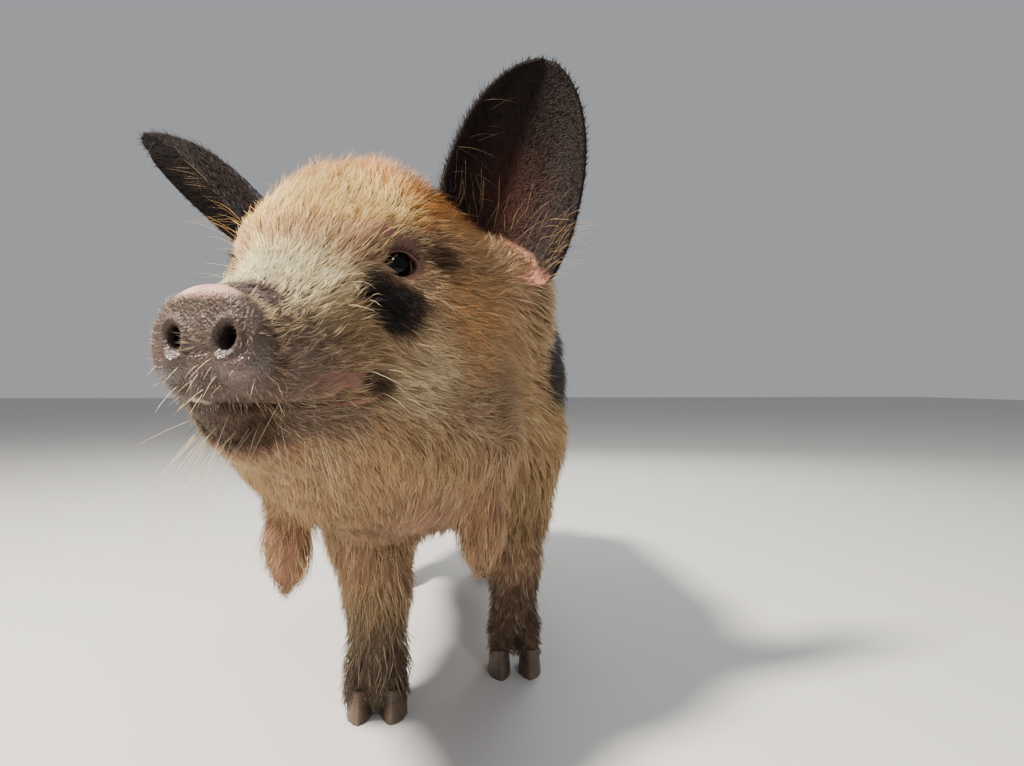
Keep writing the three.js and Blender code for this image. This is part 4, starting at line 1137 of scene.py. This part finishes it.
on_face = thickness_of(FACE_HAIRS, head_share)
coat = [grow_coat(f"coat_face_{i + 1}", on_face, face_width, 100 + i) for i in range(4)]
for side, name in ((1, "left"), (-1, "right")):
    on_fore = thickness_of(FORE_HAIRS, fore_share, CHEST_MIDDLE, side)
    on_rest = thickness_of(TRUNK_HAIRS, rest_share, 0, side)
    coat.append(grow_coat("coat_fore_" + name, on_fore, lambda p: 0.52, 200 + side))
    coat.append(grow_coat("coat_trunk_" + name, on_rest, lambda p: 0.74, 300 + side, tuft=5))
coat.append(grow_coat("hair_snout", disc_thickness, lambda p: 0.17, 400, tuft=2, lift=0.6))


def drooping(place, way, length, droop, t):
    """A place partway along straight hairs that droop towards their tips."""
    return place + way * (length * t)[:, None] - np.multiply.outer(droop * t * t, (0, 0, 1))


def grow_ear_hair(name, seed, thickness, chosen, sizes, tone, lean):
    """Hair on the ears. chosen works from the place along and across the leaf, and from its inner side.
    sizes are length, width, lift and droop. lean is the way along, across, and outwards over the leaf."""
    rng, *roots = hair_roots(lambda p, height: thickness * (height > 1.0) * (on_ear(p)[0] != 0), seed)
    on_leaf = on_ear(roots[0])[0] != 0
    place, out, uv = (k[on_leaf] for k in roots)
    which, rise, x = on_ear(place)
    pairs = zip(ear_axes(EARS["left"]), ear_axes(EARS["right"]))
    axis, crownward, ahead = (np.where((which > 0)[:, None], *pair) for pair in pairs)
    kept = rng.random(len(which)) < chosen(rise, x, (out * ahead).sum(1))
    place, out, uv, x, axis, crownward = (k[kept] for k in (place, out, uv, x, axis, crownward))
    count = len(place)
    length, width, lift, droop = sizes
    along, aside, outwards = lean
    way = axis * along + crownward * (aside + outwards * x)[:, None] + 0.2 * rng.normal(size=(count, 3))
    way = flattened(way, out)
    reach = length * rng.uniform(0.6, 1.25, count)
    rise_by = reach * lift * rng.uniform(0.4, 1.6, count)
    hang = reach * droop * rng.uniform(0.5, 1.5, count)
    rings = []
    for t in np.linspace(0, 1, 5 if length > 10 else 3):
        up = out * (-0.4 + (rise_by + 0.4) * t**0.7)[:, None]
        rings.append(drooping(place, way, reach, hang, t) + up)
    tones = tone(place) * np.clip(rng.normal(1, 0.2, count), 0.5, 1.6)[:, None]
    width = width * rng.uniform(0.7, 1.3, count)
    rings, across = np.stack(rings, 1), np.cross(out, way)[:, None]
    return strands(name, rings, across, out[:, None], width, tones * 0.8, tones * 1.2, uv)


EAR_HAIR = {
    # hairs to a square millimetre, where they grow, sizes, colour and lean
    "hair_ears": (
        0.34,
        lambda y, x, inside: np.where(inside > 0, 0.5 + 0.5 * smooth(np.abs(x), 0.5, 0.85), 1.0),
        (4.3, 0.34, 0.16, 0),
        lambda p: mixed(EAR_BLACK, SILVER * 0.25, smooth(mottle(p, 4.0, 61), 0.6, 1.2) * 0.2),
        (1.0, 0, 0.8),
    ),
    "hair_ear_rims": (
        0.5,
        lambda y, x, inside: smooth(x, 0.55, 0.8) * fade(y, 0.55, 0.85) * (inside < 0.5),
        (6.5, 0.26, 0.4, 0),
        lambda p: SILVER * 0.12,
        (0.9, 0.5, 0),
    ),
    "hair_ear_base": (
        0.03,
        lambda y, x, inside: (inside > 0) * fade(y, 0.1, 0.32) * (x > -0.95),
        (19, 0.24, 0.42, 0.12),
        lambda p: TAN * 0.75,
        (1.0, 0, 1.3),
    ),
    "hair_ear_inner": (
        0.011,
        lambda y, x, inside: (inside > 0) * smooth(x, 0.35, 0.7) * smooth(y, 0.2, 0.3) * fade(y, 0.7, 0.85),
        (20, 0.15, 0.25, 0.35),
        lambda p: TAN * 0.8,
        (0.35, -1.0, 0),
    ),
    "hair_ear_margin": (
        0.05,
        lambda y, x, inside: (x < -0.45) * fade(y, 0.12, 0.36) * smooth(-x, 0.45, 0.8),
        (14, 0.2, 0.4, 0.1),
        lambda p: PALE_TAN,
        (0.2, -1.0, 0),
    ),
}
coat += [grow_ear_hair(name, 500 + i, *row) for i, (name, row) in enumerate(EAR_HAIR.items())]


# Long bristles on the brows, cheeks, chin and snout


def uv_near(places):
    """The skin's own unwrap at the corner nearest to each place."""
    corner_uv = np.zeros((len(skin_places), 2))
    corner_uv[skin_corners.ravel()] = skin_uv.reshape(-1, 2)
    return corner_uv[nearest(places, skin_places)]


BRISTLES = (
    # middle and spread of the roots on the head, how many, their way, length and colour
    ((2, -86, -70), (15, 7, 6), 30, (-0.45, -0.5, -0.7), 28, CREAM * 0.8),
    ((24, -60, -74), (12, 12, 5), 14, (0.1, 0.1, -1.0), 22, CREAM),
    ((0, -96, -50), (18, 3, 8), 16, (-0.2, -1.0, -0.5), 12, CREAM),
    *both(((28, -20, 9), (8, 6, 3), 9, (0.55, -0.1, 0.9), 26, PALE_GOLD), 0, 3),
    *both(((30, -34, -14), (7, 6, 8), 6, (0.6, -0.5, 0.3), 22, CREAM), 0, 3),
    *both(((46, -30, -52), (8, 10, 6), 8, (0.7, 0.1, -0.5), 20, CREAM), 0, 3),
)


def grow_bristles():
    rng = np.random.default_rng(77)
    rows = []
    for middle, spread, count, lean, reach, shade in BRISTLES:
        root = np.array(middle) + rng.normal(size=(count, 3)) * np.array(spread) * 0.6
        way = unit((np.array(lean) + rng.normal(0, 0.22, (count, 3))) @ HEAD_AXES.T)
        length = reach * rng.uniform(0.6, 1.35, count)
        rows.append((from_head(root), way, length, np.tile(shade, (count, 1))))
    place, way, length, tone = (np.concatenate(k) for k in zip(*rows))
    place = drawn_to(place, -1.0, 5)
    way = unit(way + 0.5 * unit(outward(place)[0]))
    droop = rng.uniform(0.1, 0.6, len(place)) * length
    rings = np.stack([drooping(place, way, length, droop, t) for t in np.linspace(0, 1, 5)], 1)
    across = unit(np.cross(way, (0.3, 1, 0.1)))[:, None]
    up = unit(np.cross(across[:, 0], way))[:, None]
    width = np.full(len(place), 0.2)
    return strands("bristles", rings, across, up, width, tone * 0.85, tone, uv_near(place), 1.0)


coat.append(grow_bristles())


# Eyes, each with a dark iris that looks ahead, and the white at its back corner


IRIS_LOOK = np.array((0.65, -0.76, 0.03))
WHITE_OF_EYE = ink(196, 182, 172)
RINGS_OF_EYE = (
    # degrees from the middle of the iris where the colour begins and is full, and the colour
    (56, 50, ink(150, 124, 114)),
    (49, 46, ink(20, 15, 15)),
    (43, 34, ink(26, 17, 13)),
    (30, 24, ink(5, 5, 6)),
)


def model_eye(name, side):
    centre = eye_axes(side)[0]
    start_fresh()
    size = EYE_RADIUS * MM
    bpy.ops.mesh.primitive_uv_sphere_add(segments=64, ring_count=48, radius=size, location=in_frame(centre))
    piece = bpy.context.object
    bpy.ops.object.transform_apply()
    piece.name = piece.data.name = name
    p = places_of(piece) - centre
    look = unit(HEAD_AXES @ (IRIS_LOOK * (side, 1, 1)))
    turn = np.degrees(np.arccos(np.clip(unit(p) @ look, -1, 1)))
    lens = 0.7 * fade(turn, 20, 44)
    put_places(piece, centre + p * (1 + lens / EYE_RADIUS)[:, None])
    colour = np.tile(WHITE_OF_EYE, (len(p), 1))
    for outer, inner, shade in RINGS_OF_EYE:
        colour = mixed(colour, shade, fade(turn, inner, outer))
    paint(piece, colour)
    on_all_faces(piece, bpy.ops.mesh.faces_shade_smooth)
    return piece


eyes = {name: model_eye(name + "_ball", side) for name, side in (("eye_left", 1), ("eye_right", -1))}


LASHES = 46
LASH_DARK = ink(30, 24, 22)


def grow_lashes():
    rng = np.random.default_rng(88)
    rows = []
    for side in (1, -1):
        centre, out, across, up = eye_axes(side)
        for t in np.linspace(0.12, 0.9, LASHES) * math.pi:
            c, s = math.cos(t), math.sin(t)
            wide = LID_OPENING[0] * 1.06 * c + LID_SHIFT * side
            high = LID_OPENING[1] * 1.08 * s * (1 - LID_DROOP * c**2)
            ahead = math.sqrt(max((EYE_RADIUS + 1.6) ** 2 - wide**2 - high**2, 1))
            way = unit(out * 0.9 + across * 0.5 * c + up * 0.25 + rng.normal(0, 0.12, 3))
            rows.append((centre + (out * ahead + across * wide + up * high), way, up))
    place, way, up = (np.array(k) for k in zip(*rows))
    length = rng.uniform(4.5, 7.5, len(place))
    curl = [(t, 0.32 * t * t - 0.12 * t) for t in np.linspace(0, 1, 4)]
    rings = [place + way * (length * t)[:, None] + up * (length * lift)[:, None] for t, lift in curl]
    across = unit(np.cross(up, way))[:, None]
    tone, width = np.tile(LASH_DARK, (len(place), 1)), np.full(len(place), 0.34)
    return strands("lashes", np.stack(rings, 1), across, up[:, None], width, tone, tone, uv_near(place), 1.0)


coat.append(grow_lashes())


# Horn: each claw is a smoothed copy of the solid


def model_horn(node):
    start_fresh()
    piece = in_scene("horn_" + node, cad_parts[node].data.copy())
    piece.data.materials.clear()
    on_all_faces(piece, bpy.ops.mesh.remove_doubles, threshold=0.00002)
    with_modifier(piece, "REMESH", mode="VOXEL", voxel_size=HORN_VOXEL * MM, adaptivity=0)
    with_modifier(piece, "SMOOTH", factor=0.5, iterations=5)
    on_all_faces(piece, bpy.ops.mesh.faces_shade_smooth)
    return piece


horn = {name: model_horn(name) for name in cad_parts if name.startswith(("hoof", "dewclaw"))}


# Materials


def set_inputs(tree, node, inputs):
    """Sets a node's sockets to numbers, or links them to the outputs of other nodes."""
    for name, value in inputs.items():
        if isinstance(value, bpy.types.NodeSocket):
            tree.links.new(value, node.inputs[name])
        else:
            node.inputs[name].default_value = value


def add_node(tree, kind, inputs=(), **settings):
    node = tree.nodes.new("ShaderNode" + kind)
    for name, value in settings.items():
        setattr(node, name, value)
    set_inputs(tree, node, dict(inputs))
    return node.outputs


def new_material(name):
    material = bpy.data.materials.new(name)
    material.use_nodes = True
    return material, material.node_tree, material.node_tree.nodes["Principled BSDF"]


def pattern_at(tree, kind, inputs, **settings):
    """A pattern on the piece's own coordinates."""
    where = add_node(tree, "TexCoord")["Object"]
    return add_node(tree, kind, {"Vector": where, **inputs}, **settings)


def noise_at(tree, scale, detail=4.0, roughness=0.55):
    return pattern_at(tree, "TexNoise", {"Scale": scale, "Detail": detail, "Roughness": roughness})["Fac"]


def spread_over(tree, value, low, high):
    """A value from 0 to 1, spread from low to high."""
    return add_node(tree, "MapRange", {"Value": value, "To Min": low, "To Max": high})["Result"]


def bumped(tree, shader, heights, distance):
    """Adds the heights of several patterns and bumps the shader with them."""
    total = 0.0
    for pattern, share in heights:
        total = add_node(tree, "Math", {0: pattern, 1: share, 2: total}, operation="MULTIPLY_ADD")[0]
    bump = add_node(tree, "Bump", {"Strength": 0.6, "Distance": distance, "Height": total})
    set_inputs(tree, shader, {"Normal": bump["Normal"]})


def tinted(tree, shader, noise, low, high):
    """The painted tone, lightened and darkened by a pattern."""
    tone = add_node(tree, "Attribute", attribute_name="tone")["Color"]
    share = spread_over(tree, noise, low, high)
    scaled = add_node(tree, "VectorMath", {"Vector": tone, "Scale": share}, operation="SCALE")["Vector"]
    set_inputs(tree, shader, {"Base Color": scaled})


def skin_material():
    material, tree, shader = new_material("bare_skin")
    tinted(tree, shader, noise_at(tree, 260.0, 6.0, 0.65), 0.7, 1.28)
    cells = pattern_at(tree, "TexVoronoi", {"Scale": 900.0})["Distance"]
    heights = ((cells, 0.7), (noise_at(tree, 1500.0, 3.0), 0.4), (noise_at(tree, 220.0, 3.0), 1.2))
    bumped(tree, shader, heights, 0.0009)
    wet = add_node(tree, "Attribute", attribute_name="wet")["Fac"]
    looks = {
        "Roughness": spread_over(tree, wet, 0.62, 0.16),
        "Specular IOR Level": spread_over(tree, wet, 0.1, 0.6),
        "Subsurface Weight": 0.12,
        "Subsurface Radius": (0.004, 0.0015, 0.001),
    }
    set_inputs(tree, shader, looks)
    return material


def plain_material(name, noise, low, high, roughness, specular):
    """The painted tone, with one roughness and shine all over."""
    material, tree, shader = new_material(name)
    tinted(tree, shader, noise_at(tree, *noise), low, high)
    set_inputs(tree, shader, {"Roughness": roughness, "Specular IOR Level": specular})
    return material


def horn_material():
    material, tree, shader = new_material("horn")
    waves = {"Scale": 160.0, "Distortion": 3.0, "Detail": 3.0}
    bands = pattern_at(tree, "TexWave", waves, bands_direction="Z")["Fac"]
    grain = noise_at(tree, 120.0, 6.0)
    ramp = add_node(tree, "ValToRGB", {"Fac": grain})["Color"]
    for stop, shade in zip(ramp.node.color_ramp.elements, (ink(58, 46, 38), ink(112, 92, 74))):
        stop.color = (*shade, 1)
    bumped(tree, shader, ((bands, 0.5), (grain, 1.0)), 0.0006)
    set_inputs(tree, shader, {"Base Color": ramp, "Roughness": 0.5})
    return material


bare_skin, claw_horn = skin_material(), horn_material()
wet_eye = plain_material("wet_eye", (1400.0, 4.0), 0.8, 1.2, 0.06, 0.2)
hair = plain_material("hair", (420.0, 2.0), 0.9, 1.1, 0.55, 0.22)
dull_hair = plain_material("dull_hair", (420.0, 2.0), 0.9, 1.1, 0.8, 0.05)
FLESH = [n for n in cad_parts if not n.startswith(("eye", "hoof", "dewclaw"))]
skin.data.materials.clear()
skin.data.materials.append(bare_skin)
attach(skin, "root")
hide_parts(*FLESH)
for piece in coat:
    piece.data.materials.append(dull_hair if piece.name in ("hair_ears", "hair_ear_rims") else hair)
    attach(piece, "root")
for node, piece in eyes.items():
    piece.data.materials.append(wet_eye)
    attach(piece, "root")
    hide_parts(node)
for node, piece in horn.items():
    piece.data.materials.append(claw_horn)
    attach(piece, "root")
    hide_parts(node)


# Stage, lights and camera, in metres


def add_stage():
    start_fresh()
    bpy.ops.mesh.primitive_plane_add(size=12, location=(0, 3, 0))
    floor = bpy.context.object
    floor.name = "studio_floor"
    material, tree, shader = new_material("pale_floor")
    set_inputs(tree, shader, {"Base Color": (0.56, 0.555, 0.545, 1), "Roughness": 0.85})
    floor.data.materials.append(material)
    world = bpy.data.worlds.new("studio")
    bpy.context.scene.world = world
    world.use_nodes = True
    sky = world.node_tree.nodes["Background"]
    set_inputs(world.node_tree, sky, {"Color": (0.86, 0.88, 0.92, 1), "Strength": 0.42})


def look_along(piece, place, way):
    piece.location = place
    piece.rotation_mode = "QUATERNION"
    piece.rotation_quaternion = Vector(way).to_track_quat("-Z", "Y")


def add_light(name, place, target, size, power, colour):
    data = bpy.data.lights.new(name, "AREA")
    data.shape = "DISK"
    data.size = size
    data.energy = power
    data.color = colour
    look_along(in_scene(name, data), place, Vector(target) - Vector(place))


CAMERA_AT = (0.05185, -0.53335, 0.180)
CAMERA_TURN = math.radians(4)
FOCAL_PIXELS = 770
FRAME_WIDE = 1024


def add_camera():
    data = bpy.data.cameras.new("camera")
    data.sensor_width = 36.0
    data.lens = FOCAL_PIXELS / FRAME_WIDE * data.sensor_width
    data.clip_start = 0.01
    camera = in_scene("camera", data)
    look_along(camera, CAMERA_AT, (math.sin(CAMERA_TURN), math.cos(CAMERA_TURN), 0))
    bpy.context.scene.camera = camera


add_stage()
add_light("key", (-0.66, -0.5, 1.34), (0, -0.12, 0.2), 0.24, 82, (1.0, 0.92, 0.8))
add_light("fill", (0.46, -1.2, 0.88), (0, -0.05, 0.18), 0.16, 4, (0.93, 0.96, 1.0))
add_light("rim", (0.3, 1.1, 0.9), (0, 0, 0.2), 0.8, 12, (1.0, 0.98, 0.95))
add_camera()

bpy.context.view_layer.update()
